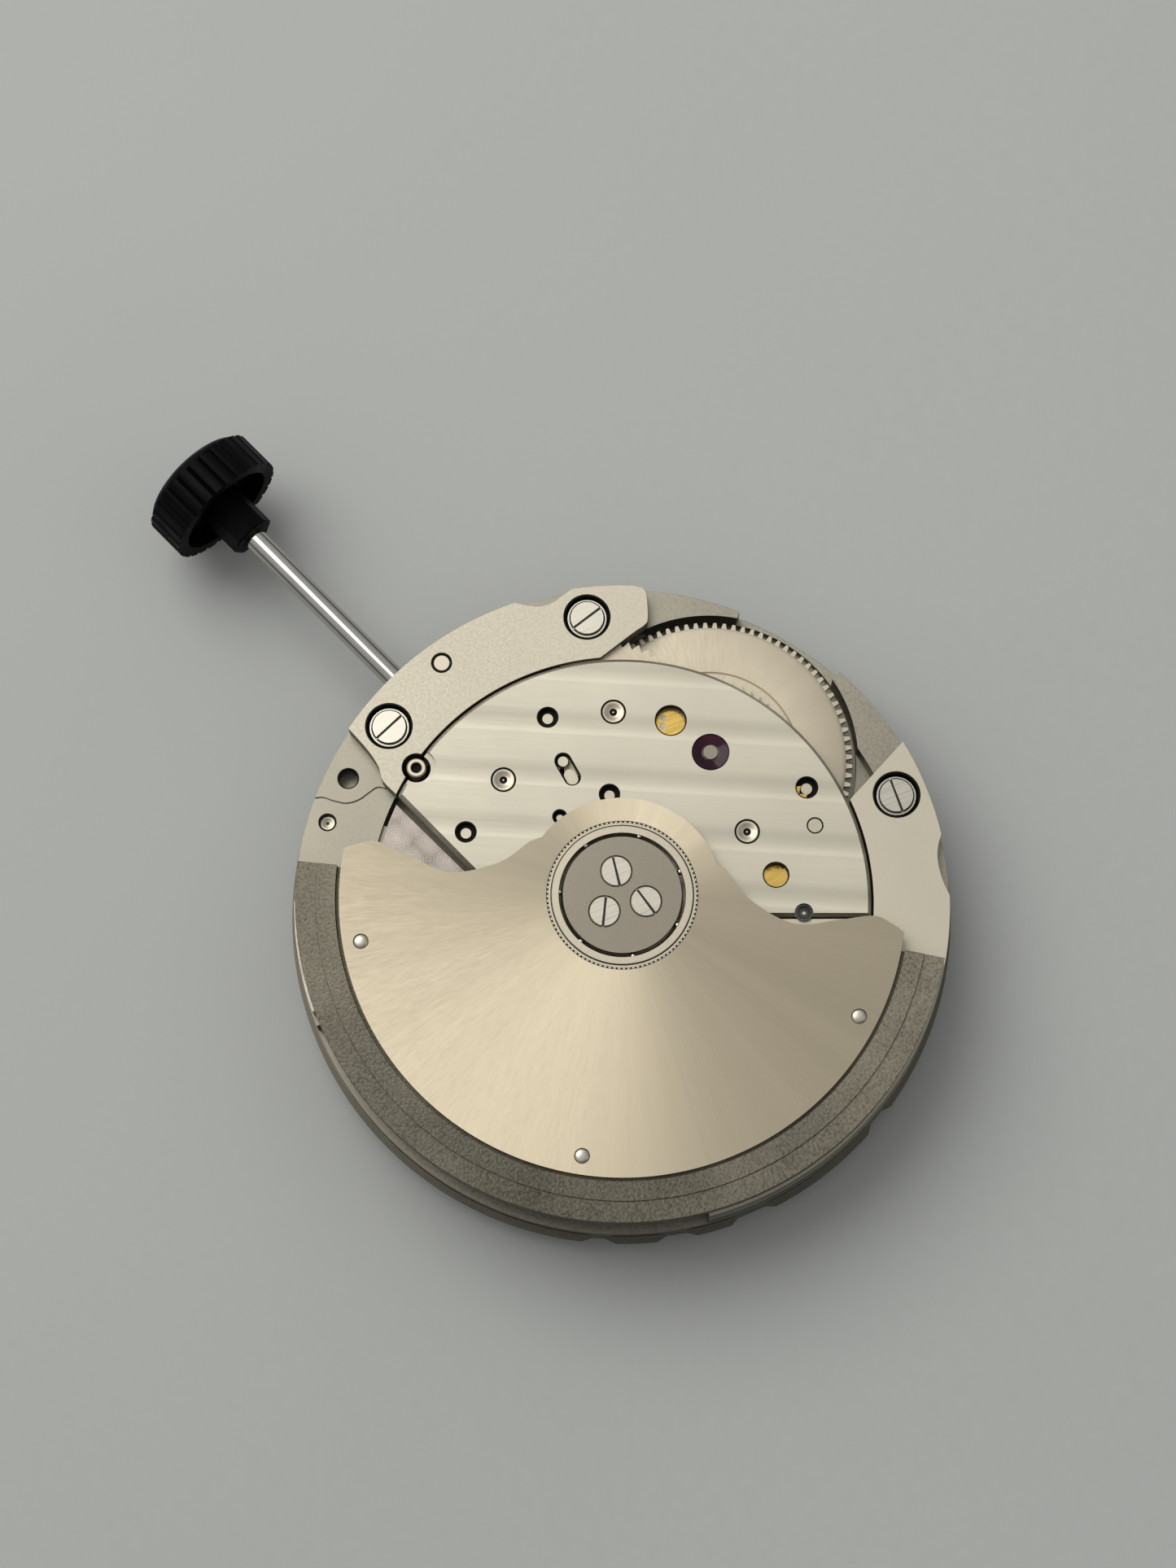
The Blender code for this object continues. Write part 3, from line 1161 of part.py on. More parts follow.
def hairspring():
    """A flat spiral from the collet on the balance staff out to the stud on the cock."""
    height = hairspring_height()
    finish = heading(BALANCE, polar(*STUD_BEARING))
    count = HAIRSPRING_LOOPS * HAIRSPRING_POINTS
    curve = bpy.data.curves.new("hairspring", "CURVE")
    curve.dimensions = "3D"
    curve.bevel_depth = HAIRSPRING_WIRE
    curve.bevel_resolution = 1
    curve.use_fill_caps = True
    spline = curve.splines.new("POLY")
    spline.points.add(count)
    route = []
    for i, point in enumerate(spline.points):
        radius = HAIRSPRING_START + HAIRSPRING_PITCH * i / HAIRSPRING_POINTS
        route.append(polar(radius, finish + 360 * i / HAIRSPRING_POINTS, BALANCE))
        point.co = (*route[-1], height, 1)
    ahead = HAIRSPRING_POINTS // 2
    least = min(math.dist(p, q) for i, p in enumerate(route) for q in route[i + ahead:])
    print(f"hairspring: least gap between turns {least - 2 * HAIRSPRING_WIRE:.3f} mm")
    place("hairspring", welded(evaluated(curve)), "spring", BALANCE)


# Stem, crown and setting works


def stem():
    groove = LEVER_PIVOT[0] - STEM_PULL / 2
    profile = [
        (0, STEM_END),
        (STEM_RADIUS, STEM_END),
        (STEM_RADIUS, groove + GROOVE_WIDTH / 2),
        (GROOVE_RADIUS, groove + GROOVE_WIDTH / 2),
        (GROOVE_RADIUS, groove - GROOVE_WIDTH / 2),
        (STEM_RADIUS - FIT, groove - GROOVE_WIDTH / 2),
        (STEM_RADIUS - FIT, CLUTCH_END + PLAY),
        (STEM_SQUARE_RADIUS, CLUTCH_END + PLAY),
        (STEM_SQUARE_RADIUS, CLUTCH_START - CLUTCH_SHIFT),
        (STEM_PILOT_RADIUS, CLUTCH_START - CLUTCH_SHIFT),
        (STEM_PILOT_RADIUS, STEM_INNER_END),
        (0, STEM_INNER_END),
    ]
    place("stem", along_stem(turned(profile, 16)), "steel", (CROWN_START, 0), STEM_HEIGHT)


def crown():
    """The fluted crown: a hollow-backed cap on a collar that screws onto the stem."""
    outer = CROWN_RADIUS
    inner = CROWN_RADIUS - CROWN_FLUTE_DEPTH
    pitch = 360 / CROWN_FLUTES
    shape = ((-FLUTE_CREST, outer), (FLUTE_CREST, outer), (0.5, inner))
    fluted = [polar(r, pitch * (i + share)) for i in range(CROWN_FLUTES) for share, r in shape]
    rim = flat(CROWN_START, CROWN_RIM_END, fluted)
    dome_radius = inner - RUN_IN
    dome_rise = CROWN_END - CROWN_RIM_END
    dome = [(dome_radius * math.cos(t), CROWN_RIM_END + dome_rise * math.sin(t)) for t in
            (math.radians(90 * i / 4) for i in range(4, -1, -1))]
    dome[0] = (0, CROWN_END)
    cap = turned([*dome, (dome_radius, CROWN_RIM_END - RUN_IN), (0, CROWN_RIM_END - RUN_IN)], 18)
    hollow = ring(
        CROWN_COLLAR_RADIUS,
        CROWN_HOLLOW_RADIUS,
        CROWN_START - RUN_IN,
        CROWN_START + CROWN_HOLLOW_DEPTH,
        sides=18,
    )
    collar = disc(CROWN_COLLAR_RADIUS, COLLAR_START, CROWN_START + CROWN_HOLLOW_DEPTH + RUN_IN, sides=16)
    bore = disc(STEM_RADIUS + FIT, COLLAR_START - RUN_IN, STEM_END + FIT, sides=16)
    body = cut(joined(cut(joined(rim, cap), hollow), collar), bore)
    place("crown", along_stem(body), "plastic", (CROWN_START, 0), STEM_HEIGHT)


def winding_pinion():
    teeth = gear(WINDING_PINION_TEETH, WINDING_MODULE, fine=True)
    body = flat(WINDING_PINION_START, WINDING_PINION_END, teeth, circle(STEM_RADIUS + FIT, sides=16))
    place("winding_pinion", along_stem(body), "steel", (WINDING_PINION_START, 0), STEM_HEIGHT)


def sliding_pinion():
    tip = pitch_radius(WINDING_PINION_TEETH, WINDING_MODULE) + ADDENDUM * WINDING_MODULE
    half = GROOVE_WIDTH / 2
    profile = [
        (CLUTCH_BORE, CLUTCH_END),
        (tip, CLUTCH_END),
        (tip, CLUTCH_GROOVE + half),
        (CLUTCH_GROOVE_RADIUS, CLUTCH_GROOVE + half),
        (CLUTCH_GROOVE_RADIUS, CLUTCH_GROOVE - half),
        (tip, CLUTCH_GROOVE - half),
        (tip, CLUTCH_START),
        (CLUTCH_BORE, CLUTCH_START),
    ]
    place("sliding_pinion", along_stem(turned(profile, 16)), "steel", (CLUTCH_START, 0), STEM_HEIGHT)


def lever(name, pivot, tip, half_width, post_bottom, post_top, post_radius):
    """A flat lever beside the stem, whose finger sits in a groove."""
    bottom = STEM_HEIGHT - LEVER_THICKNESS / 2
    top = bottom + LEVER_THICKNESS
    body = joined(
        disc(3 * post_radius, bottom, top, pivot, 18),
        flat(bottom + FIT / 2, top - FIT / 2, strip(pivot, tip, half_width)),
        disc(post_radius, post_bottom, post_top, pivot, 14),
    )
    place(name, body, "steel", pivot)


def setting_levers():
    finger = GROOVE_WIDTH / 2 - PLAY
    groove = LEVER_PIVOT[0] - STEM_PULL / 2
    foot = PLATE_TOP + FIT
    pin = RELEASE_BORE - FIT
    post_top = BRIDGE_TOP - RELEASE_TRAVEL - 2 * PLAY
    lever("setting_lever", LEVER_PIVOT, (groove, GROOVE_RADIUS + PLAY), finger, foot, post_top, pin)
    yoke_tip = (CLUTCH_GROOVE, CLUTCH_GROOVE_RADIUS + 2 * PLAY)
    yoke_top = STEM_HEIGHT + LEVER_THICKNESS
    lever("yoke", YOKE_PIVOT, yoke_tip, finger - FIT, foot, yoke_top, ARBOR_RADIUS)


def stem_release_button():
    bottom = STEM_HEIGHT + LEVER_THICKNESS / 2 + RELEASE_TRAVEL + PLAY
    body = ring(RELEASE_BORE, RELEASE_RADIUS, bottom, BRIDGE_TOP - PLAY, LEVER_PIVOT, 16)
    place("stem_release_button", body, "steel", LEVER_PIVOT)


# Dial side


def motion_works():
    to_minute = heading((0, 0), MINUTE)
    to_cannon = heading(THIRD, (0, 0))
    cannon_phase = mesh_phase(to_cannon, DRIVE_PINION_TEETH, to_cannon, DRIVE_TEETH)
    bore = ARBOR_RADIUS + PLAY
    tube = CANNON_TUBE_RADIUS
    cannon = joined(
        ring(bore, tube, -MINUTE_POST_LENGTH, DRIVE_BOTTOM + WHEEL_THICKNESS, sides=14),
        flat(
            DRIVE_BOTTOM,
            DRIVE_BOTTOM + WHEEL_THICKNESS - FIT / 2,
            gear(DRIVE_TEETH, DRIVE_MODULE, (0, 0), cannon_phase),
            circle(tube - RUN_IN),
        ),
        flat(
            MINUTE_BOTTOM - FIT,
            MINUTE_BOTTOM + WHEEL_THICKNESS,
            gear(CANNON_TEETH, MOTION_MODULE, (0, 0), to_minute, True),
            circle(tube - RUN_IN),
        ),
    )
    place("cannon_pinion", cannon, "steel")
    minute_phase = mesh_phase(to_minute, CANNON_TEETH, to_minute, MINUTE_TEETH)
    minute_pinion = gear(MINUTE_PINION_TEETH, HOUR_MODULE, MINUTE, to_minute + 180, True)
    minute_teeth = gear(MINUTE_TEETH, MOTION_MODULE, MINUTE, minute_phase)
    minute = joined(
        flat(MINUTE_BOTTOM, MINUTE_BOTTOM + WHEEL_THICKNESS, minute_teeth),
        flat(HOUR_BOTTOM - FIT, MINUTE_BOTTOM + RUN_IN, minute_pinion),
        disc(ARBOR_RADIUS, GUARD_TOP + FIT, HOUR_BOTTOM + RUN_IN, MINUTE, 12),
    )
    place("minute_wheel", minute, "brass", MINUTE)
    hour_tube = tube + PLAY
    hour_outer = hour_tube + HOUR_TUBE_WALL
    hour_phase = mesh_phase(to_minute + 180, MINUTE_PINION_TEETH, to_minute + 180, HOUR_TEETH)
    to_idler = heading((0, 0), DATE_IDLER)
    hour = joined(
        ring(hour_tube, hour_outer, -HOUR_POST_LENGTH, HOUR_BOTTOM + WHEEL_THICKNESS - FIT, sides=14),
        flat(
            HOUR_BOTTOM,
            HOUR_BOTTOM + WHEEL_THICKNESS - 2 * FIT,
            gear(HOUR_TEETH, HOUR_MODULE, (0, 0), hour_phase),
            circle(hour_tube + RUN_IN),
        ),
        flat(
            DATE_BOTTOM,
            HOUR_BOTTOM + RUN_IN,
            gear(HOUR_LEAF_TEETH, DATE_MODULE, (0, 0), to_idler, True),
            circle(hour_tube + RUN_IN),
        ),
    )
    place("hour_wheel", hour, "brass")
    idler_phase = mesh_phase(to_idler, HOUR_LEAF_TEETH, to_idler, DATE_IDLER_TEETH)
    date_wheels(idler_phase)


def date_wheels(idler_phase):
    idler = flat(DATE_BOTTOM, DATE_WHEEL_TOP, gear(DATE_IDLER_TEETH, DATE_MODULE, DATE_IDLER, idler_phase))
    shaft = arbored(DATE_IDLER, DATE_BOTTOM + FIT, WORKS_FLOOR - FIT, idler)
    place("date_idler_wheel", shaft, "brass", DATE_IDLER)
    onward = heading(DATE_IDLER, DATE_WHEEL)
    phase = mesh_phase(idler_phase, DATE_IDLER_TEETH, onward, DATE_WHEEL_TEETH)
    wheel = flat(DATE_BOTTOM, DATE_WHEEL_TOP, gear(DATE_WHEEL_TEETH, DATE_MODULE, DATE_WHEEL, phase))
    shaft = arbored(DATE_WHEEL, DATE_BOTTOM + FIT, WORKS_FLOOR - FIT, wheel)
    place("date_driving_wheel", shaft, "brass", DATE_WHEEL)


def date_ring():
    pitch = 360 / DATE_RING_TEETH
    root = DATE_RING_INNER + DATE_TOOTH_DEPTH
    shape = ((0.0, DATE_RING_INNER), *((share, root) for share in DATE_TOOTH_GAP))
    teeth = [polar(r, pitch * (i + share)) for i in range(DATE_RING_TEETH) for share, r in shape]
    body = flat(DATE_BOTTOM, DATE_BOTTOM + DATE_RING_THICKNESS, circle(DATE_RING_OUTER, sides=62), teeth)
    place("date_ring", body, "dial")


def date_guard():
    outer = DATE_RING_INNER + GUARD_LAP
    opening = pitch_radius(HOUR_LEAF_TEETH, DATE_MODULE) + 3 * DATE_MODULE
    body = flat(GUARD_BOTTOM, GUARD_TOP, circle(outer, sides=40), circle(opening, sides=20))
    post_at = [polar(WORKS_RADIUS - GUARD_POST_INSET, a) for a in GUARD_POST_ANGLES]
    posts = [disc(GUARD_POST_RADIUS, GUARD_TOP - RUN_IN, WORKS_FLOOR - FIT, at, 12) for at in post_at]
    place("date_guard", joined(body, *posts), "steel")


def main():
    for old in list(bpy.data.objects):
        bpy.data.objects.remove(old)
    bpy.context.scene.collection.children.link(bpy.data.collections.new("watch_movement"))
    for build in (
        main_plate, barrel_bridge, train_bridge, automatic_bridge, setting_cover, balance_cock,
        pallet_bridge, bridge_screws, jewels, rotor_plate, rotor_weight, bearing_core, hub_screws,
        bearing_balls, rotor_bearing_ring, reversing_wheels, intermediate_wheel, crown_wheel,
        ratchet_and_arbor, click, barrel, train_wheels, pallet_fork, balance_wheel, hairspring,
        stem, crown, winding_pinion, sliding_pinion, setting_levers, stem_release_button,
        motion_works, date_ring, date_guard,
    ):
        build()


main()
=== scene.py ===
"""Looks of the automatic watch movement: finer pieces over the CAD frame, materials, light and camera."""

import math
from contextlib import contextmanager

import bmesh
import bpy
from mathutils import Matrix, Vector


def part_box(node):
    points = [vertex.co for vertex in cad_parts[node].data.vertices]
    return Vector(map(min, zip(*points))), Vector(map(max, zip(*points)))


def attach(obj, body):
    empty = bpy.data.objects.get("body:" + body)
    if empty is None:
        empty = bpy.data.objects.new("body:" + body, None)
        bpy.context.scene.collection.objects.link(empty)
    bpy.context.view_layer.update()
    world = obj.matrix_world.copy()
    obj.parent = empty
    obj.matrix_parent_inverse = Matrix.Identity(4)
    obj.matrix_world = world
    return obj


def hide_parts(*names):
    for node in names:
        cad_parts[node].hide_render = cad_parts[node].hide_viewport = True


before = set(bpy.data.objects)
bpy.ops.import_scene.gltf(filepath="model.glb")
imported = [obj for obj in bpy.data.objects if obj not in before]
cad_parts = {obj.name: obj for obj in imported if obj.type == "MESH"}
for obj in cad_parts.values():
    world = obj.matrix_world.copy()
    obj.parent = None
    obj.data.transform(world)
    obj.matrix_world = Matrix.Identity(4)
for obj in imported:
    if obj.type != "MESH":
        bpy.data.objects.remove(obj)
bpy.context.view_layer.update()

MM = 0.001

# The photograph's sideways and upward directions on the floor, turned from the stem's axis
PHOTO_TURN = 134.3
ACROSS = (math.cos(math.radians(PHOTO_TURN)), -math.sin(math.radians(PHOTO_TURN)))
UPWARD = (-ACROSS[1], ACROSS[0])

# Sizes in millimetres, heights from the dial seat, directions in degrees
SEAT = 1.45
# Room between fixed pieces, room under a moving one, and how far cutters and joined solids run in
FIT, PLAY, RUN_IN = 0.02, 0.04, 0.05
CASING, FLANGE, FLANGE_TOP = 12.79, 12.985, 0.45
FLANGE_SPANS = ((-170.3, 128.7), (-196.9, -176.7), (-211.3, -205.3), (-225.3, -218.3))
BRIDGE_EDGE, BRIDGE_INNER = 12.7, 9.74
LAND_INNER, LAND_EDGE = 11.2, 9.85
ROTOR_ANGLE = 127.0
LEVER = (9.37, 2.08)
STRIPED_RADIUS, STRIPED_CUT = 9.64, 3.36
SCREW_HEAD, SCREW_SINK, SCREW_SLOT, SLOT_DEPTH = 0.8, 0.93, 0.085, 0.08
HEAD_DROP, HEAD_DEPTH = 0.1, 0.32
# Places by radius and direction, each with a slot's direction or a hole's radius
BRIDGE_SCREWS = ((11.45, 8.5, -90.5), (11.46, -37.5, -96.4), (11.5, -113.1, -25.3))
COCK_SCREW = (11.4, 58.0, 30.0)
HUB_SLOTS = (-31.3, -50.3, -8.3)
RING_PIN = (11.85, -7.6, 0.41)
LAND_HOLE = (11.85, 20.7, 0.43)
PLATE_JEWEL = (11.97, 30.0, 0.34)
BRIDGE_HOLES = ((7.81, -22.5, 0.43), (6.62, 22.2, 0.43), (8.46, -102.8, 0.45), (4.18, -37.7, 0.42))
BRIDGE_HOLES += ((4.05, -7.7, 0.3),)
WINDOWS = ((7.38, -59.4, 0.63), (6.04, -125.4, 0.52))
BRIDGE_SLOT = ((5.95, -21.6), (5.2, -22.5), 0.34)
CLICK_PIN = (8.05, -113.2, 0.33)
TRAIN_JEWEL = (7.05, -138.8, 0.36)
EYELET, EYELET_HOLE = 0.43, 0.5
ROTOR_DROP = 0.04

# For making meshes: shares of a side or a tooth's pitch, distances, and angles in radians
CIRCLE_START, TOOTH_ROOT, TOOTH_TIP = 0.37, 0.3, 0.16
WELD, LEVEL = 1e-5, 1e-4
FLAT_ANGLE, RIM_ANGLE = 0.002, 0.5
SHARP_ANGLE, BEVEL_ANGLE = math.radians(35), math.radians(50)


def top_of(node):
    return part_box(node)[1].z / MM - SEAT


def bottom_of(node):
    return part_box(node)[0].z / MM - SEAT


def middle_of(node):
    low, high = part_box(node)
    return tuple(((low + high) / 2 / MM).xy)


AUTO_TOP, AUTO_BOTTOM = top_of("automatic_bridge"), bottom_of("automatic_bridge")
BRIDGE_TOP, BRIDGE_BOTTOM = top_of("barrel_bridge"), bottom_of("barrel_bridge")
COVER_TOP, COVER_BOTTOM = top_of("setting_cover"), bottom_of("setting_cover")
HUB_TOP = top_of("rotor_plate")
ROTOR_BOTTOM = bottom_of("rotor_plate")
ROTOR_TOP = HUB_TOP - ROTOR_DROP
STEM_Z = (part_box("stem")[0].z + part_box("stem")[1].z) / 2 / MM - SEAT


# Plane geometry


def polar(radius, degrees, about=(0.0, 0.0)):
    turn = math.radians(degrees)
    return (about[0] + radius * math.cos(turn), about[1] + radius * math.sin(turn))


def arc(radius, start, end, about=(0.0, 0.0), step=2.0):
    count = max(1, math.ceil(abs(end - start) / step))
    return [polar(radius, start + (end - start) * i / count, about) for i in range(count + 1)]


def circle(radius, about=(0.0, 0.0), sides=40):
    return [polar(radius, 360 * (i + CIRCLE_START) / sides, about) for i in range(sides)]


def sector(inner, outer, start, end):
    return arc(outer, start, end) + arc(inner, end, start)


def smooth(points, steps=8):
    knots = [Vector(p) for p in points]
    knots = [2 * knots[0] - knots[1], *knots, 2 * knots[-1] - knots[-2]]
    line = []
    for a, b, c, d in zip(knots, knots[1:], knots[2:], knots[3:]):
        for i in range(steps):
            t = i / steps
            curve = 2 * b + t * (c - a) + t * t * (2 * a - 5 * b + 4 * c - d)
            line.append((curve + t**3 * (3 * b - a - 3 * c + d)) / 2)
    return [tuple(p) for p in line] + [tuple(points[-1])]


def band(points, width):
    """A strip of even width along a line of points."""
    line = [Vector(p) for p in points]
    sides = []
    for i in range(len(line)):
        heading = (line[min(i + 1, len(line) - 1)] - line[max(i - 1, 0)]).normalized()
        sides.append(Vector((-heading.y, heading.x)) * width / 2)
    left = [tuple(p + s) for p, s in zip(line, sides)]
    right = [tuple(p - s) for p, s in zip(line, sides)]
    return left + right[::-1]


def long_hole(start, end, half):
    turn = math.degrees(math.atan2(end[1] - start[1], end[0] - start[0]))
    return arc(half, turn + 90, turn + 270, start, 15) + arc(half, turn - 90, turn + 90, end, 15)


def gear(teeth, root, tip, about=(0.0, 0.0)):
    tooth = ((-TOOTH_ROOT, root), (-TOOTH_TIP, tip), (TOOTH_TIP, tip), (TOOTH_ROOT, root))
    return [polar(r, 360 / teeth * (i + s), about) for i in range(teeth) for s, r in tooth]


# Solids, in millimetres


@contextmanager
def editing(mesh):
    shape = bmesh.new()
    shape.from_mesh(mesh)
    yield shape
    shape.to_mesh(mesh)
    shape.free()


def placed(name, data):
    made = bpy.data.objects.new(name, data)
    bpy.context.scene.collection.objects.link(made)
    return made


def welded(mesh):
    with editing(mesh) as shape:
        bmesh.ops.remove_doubles(shape, verts=shape.verts, dist=WELD)
        bmesh.ops.recalc_face_normals(shape, faces=shape.faces)
    return mesh


def evaluated(data, prepare=None):
    """The mesh that a curve, or a mesh with modifiers, comes to."""
    holder = placed("holder", data)
    helpers = prepare(holder) if prepare else []
    graph = bpy.context.evaluated_depsgraph_get()
    mesh = bpy.data.meshes.new_from_object(holder.evaluated_get(graph))
    for helper in [holder, *helpers]:
        bpy.data.objects.remove(helper)
    return mesh


def flat(bottom, top, *outlines):
    curve = bpy.data.curves.new("outline", "CURVE")
    curve.dimensions = "2D"
    curve.fill_mode = "BOTH"
    curve.extrude = (top - bottom) / 2
    for outline in outlines:
        spline = curve.splines.new("POLY")
        spline.points.add(len(outline) - 1)
        for point, (x, y) in zip(spline.points, outline):
            point.co = (x, y, 0, 1)
        spline.use_cyclic_u = True
    mesh = welded(evaluated(curve))
    mesh.transform(Matrix.Translation((0, 0, (bottom + top) / 2)))
    return mesh


def disc(radius, bottom, top, about=(0.0, 0.0), sides=40):
    return flat(bottom, top, circle(radius, about, sides))


def ring(inner, outer, bottom, top, about=(0.0, 0.0), sides=48):
    return flat(bottom, top, circle(outer, about, sides), circle(inner, about, sides))


def turned(profile, steps, about=(0.0, 0.0)):
    """A closed profile of radius and height carried once round an axis."""
    data = bpy.data.meshes.new("profile")
    count = len(profile)
    data.from_pydata([(r, 0, z) for r, z in profile], [(i, (i + 1) % count) for i in range(count)], [])

    def screw(holder):
        modifier = holder.modifiers.new("turn", "SCREW")
        modifier.steps = modifier.render_steps = steps
        modifier.use_merge_vertices = True
        modifier.merge_threshold = WELD
        return []

    mesh = welded(evaluated(data, screw))
    mesh.transform(Matrix.Translation((*about, 0)))
    return mesh


def swept(profile, start, end, step=1.5):
    """A profile of radius and height carried round part of a circle, with flat ends."""
    count = math.ceil((end - start) / step)
    mesh = bpy.data.meshes.new("swept")
    with editing(mesh) as shape:
        sections = []
        for i in range(count + 1):
            turn = start + (end - start) * i / count
            sections.append([shape.verts.new((*polar(r, turn), z)) for r, z in profile])
        for here, there in zip(sections, sections[1:]):
            for i in range(len(profile)):
                shape.faces.new((here[i - 1], here[i], there[i], there[i - 1]))
        shape.faces.new(sections[0])
        shape.faces.new(sections[-1])
        bmesh.ops.recalc_face_normals(shape, faces=shape.faces)
    return mesh


def combined(operation, mesh, others):
    def modifiers(holder):
        helpers = [placed("helper", other) for other in others]
        for helper in helpers:
            modifier = holder.modifiers.new("shape", "BOOLEAN")
            modifier.operation = operation
            modifier.object = helper
        return helpers

    mesh = evaluated(mesh, modifiers)
    with editing(mesh) as shape:
        bmesh.ops.remove_doubles(shape, verts=shape.verts, dist=WELD)
        bmesh.ops.dissolve_limit(shape, angle_limit=FLAT_ANGLE, verts=shape.verts, edges=shape.edges)
    return mesh


def joined(mesh, *others):
    return combined("UNION", mesh, others)


def cut(mesh, *others):
    return combined("DIFFERENCE", mesh, others)


def chamfered(mesh, width, height):
    """The solid with its upper outline planed off at 45 degrees."""
    with editing(mesh) as shape:
        level = {v for v in shape.verts if abs(v.co.z - height) < LEVEL}
        rim = [e for e in shape.edges if set(e.verts) <= level and e.calc_face_angle(0) > RIM_ANGLE]
        bmesh.ops.bevel(shape, geom=rim, offset=width, segments=1, affect="EDGES", profile=0.5)
    return mesh


def gathered(meshes):
    """Separate solids as one mesh."""
    whole = bpy.data.meshes.new("gathered")
    with editing(whole) as shape:
        for mesh in meshes:
            shape.from_mesh(mesh)
    return whole


def along_stem(mesh):
    mesh.transform(Matrix.Rotation(math.radians(90), 4, "Y"))
    mesh.transform(Matrix.Translation((0, 0, STEM_Z)))
    return mesh


def box(low, high):
    return flat(low[2], high[2], [low[:2], (high[0], low[1]), high[:2], (low[0], high[1])])


def piece(name, mesh, material, *nodes, body="movement", slot=None, bevel=0.0, segments=2):
    """A finished piece in metres, with softened edges, that rides on a body and stands for CAD nodes."""
    mesh.transform(Matrix.Scale(MM, 4) @ Matrix.Translation((0, 0, SEAT)))
    mesh.name = name
    mesh.shade_smooth()
    mesh.set_sharp_from_angle(angle=SHARP_ANGLE)
    mesh.materials.clear()
    mesh.materials.append(material)
    made = placed(name, mesh)
    if bevel:
        soft = made.modifiers.new("edges", "BEVEL")
        soft.width = bevel * MM
        soft.segments = segments
        soft.limit_method = "ANGLE"
        soft.angle_limit = BEVEL_ANGLE
        soft.use_clamp_overlap = True
        soft.harden_normals = True
        soft.miter_outer = "MITER_ARC"
    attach(made, body)
    if nodes:
        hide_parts(*nodes)


# Materials


class Nodes:
    """A short way to write the nodes of a material, or of the world."""

    def __init__(self, name, kind="materials", shader="Principled BSDF"):
        self.made = getattr(bpy.data, kind).new(name)
        self.made.use_nodes = True
        self.tree = self.made.node_tree
        self.shader = self.tree.nodes[shader]
        coordinates = self.tree.nodes.new("ShaderNodeTexCoord")
        self.place = coordinates.outputs["Object"]
        self.facing = coordinates.outputs["Normal"]
        self.around = coordinates.outputs["Generated"]

    def add(self, kind, inputs, **settings):
        """A new node with its settings, and its inputs set or linked."""
        node = self.tree.nodes.new("ShaderNode" + kind)
        for key, value in settings.items():
            setattr(node, key, value)
        for key, value in inputs.items():
            self.link(value, node.inputs[key])
        return node

    def link(self, value, socket):
        if isinstance(value, bpy.types.NodeSocket):
            self.tree.links.new(value, socket)
        else:
            socket.default_value = value

    def math(self, operation, *values):
        return self.add("Math", dict(enumerate(values)), operation=operation).outputs[0]

    def blended(self, a, b, share):
        """A mix of two values, with b's share given."""
        return self.math("ADD", self.math("MULTIPLY", a, 1 - share), self.math("MULTIPLY", b, share))

    def noise(self, scale, vector=None, detail=3.0, roughness=0.55):
        inputs = {"Scale": scale, "Detail": detail, "Roughness": roughness}
        inputs["Vector"] = self.place if vector is None else vector
        return self.add("TexNoise", inputs).outputs["Fac"]

    def streaks(self, along, across, degrees):
        """Noise drawn out in one direction, by its counts per metre along and across."""
        scale, turn = (1 / along, 1 / across, 1 / across), (0, 0, math.radians(degrees))
        inputs = {"Vector": self.place, "Scale": scale, "Rotation": turn}
        return self.noise(1.0, self.add("Mapping", inputs, vector_type="TEXTURE").outputs["Vector"])

    def parts(self, about=(0.0, 0.0)):
        """The x and y of the place, measured from an axis given in millimetres."""
        x, y, _ = self.add("SeparateXYZ", {0: self.place}).outputs
        return self.math("SUBTRACT", x, about[0] * MM), self.math("SUBTRACT", y, about[1] * MM)

    def upward(self, direction):
        return self.add("SeparateXYZ", {0: direction}).outputs["Z"]

    def bundle(self, x, y, z):
        return self.add("CombineXYZ", {0: x, 1: y, 2: z}).outputs[0]

    def reach(self, x, y):
        """The distance from the axis."""
        return self.math("SQRT", self.math("ADD", self.math("MULTIPLY", x, x), self.math("MULTIPLY", y, y)))

    def ground_along(self, x, y):
        """Turns the gloss of ground metal to a level direction."""
        spaces = {"convert_from": "OBJECT", "convert_to": "WORLD"}
        level = self.add("VectorTransform", {0: self.bundle(x, y, 0.0)}, vector_type="VECTOR", **spaces)
        self.link(level.outputs[0], self.shader.inputs["Tangent"])

    def ramp(self, value, *stops):
        node = self.add("ValToRGB", {0: value})
        bar = node.color_ramp
        while len(bar.elements) < len(stops):
            bar.elements.new(0.5)
        for element, (at, colour) in zip(bar.elements, stops):
            element.position = at
            element.color = (*colour, 1) if isinstance(colour, tuple) else (colour, colour, colour, 1)
        return node.outputs["Color"]

    def times(self, a, b):
        inputs = {0: 1.0, 6: a, 7: b}
        return self.add("Mix", inputs, data_type="RGBA", blend_type="MULTIPLY").outputs[2]

    def bump(self, height, strength, distance, below=None):
        inputs = {"Strength": strength, "Distance": distance * MM, "Height": height}
        if below is not None:
            inputs["Normal"] = below
        return self.add("Bump", inputs).outputs["Normal"]

    def done(self, colour, roughness, normal, **constants):
        for value, name in ((colour, "Base Color"), (roughness, "Roughness"), (normal, "Normal")):
            self.link(value, self.shader.inputs[name])
        for name, value in constants.items():
            self.shader.inputs[name.replace("_", " ").title().replace("Ior", "IOR")].default_value = value
        return self.made


def shade(colour, share):
    return tuple(part * share for part in colour)


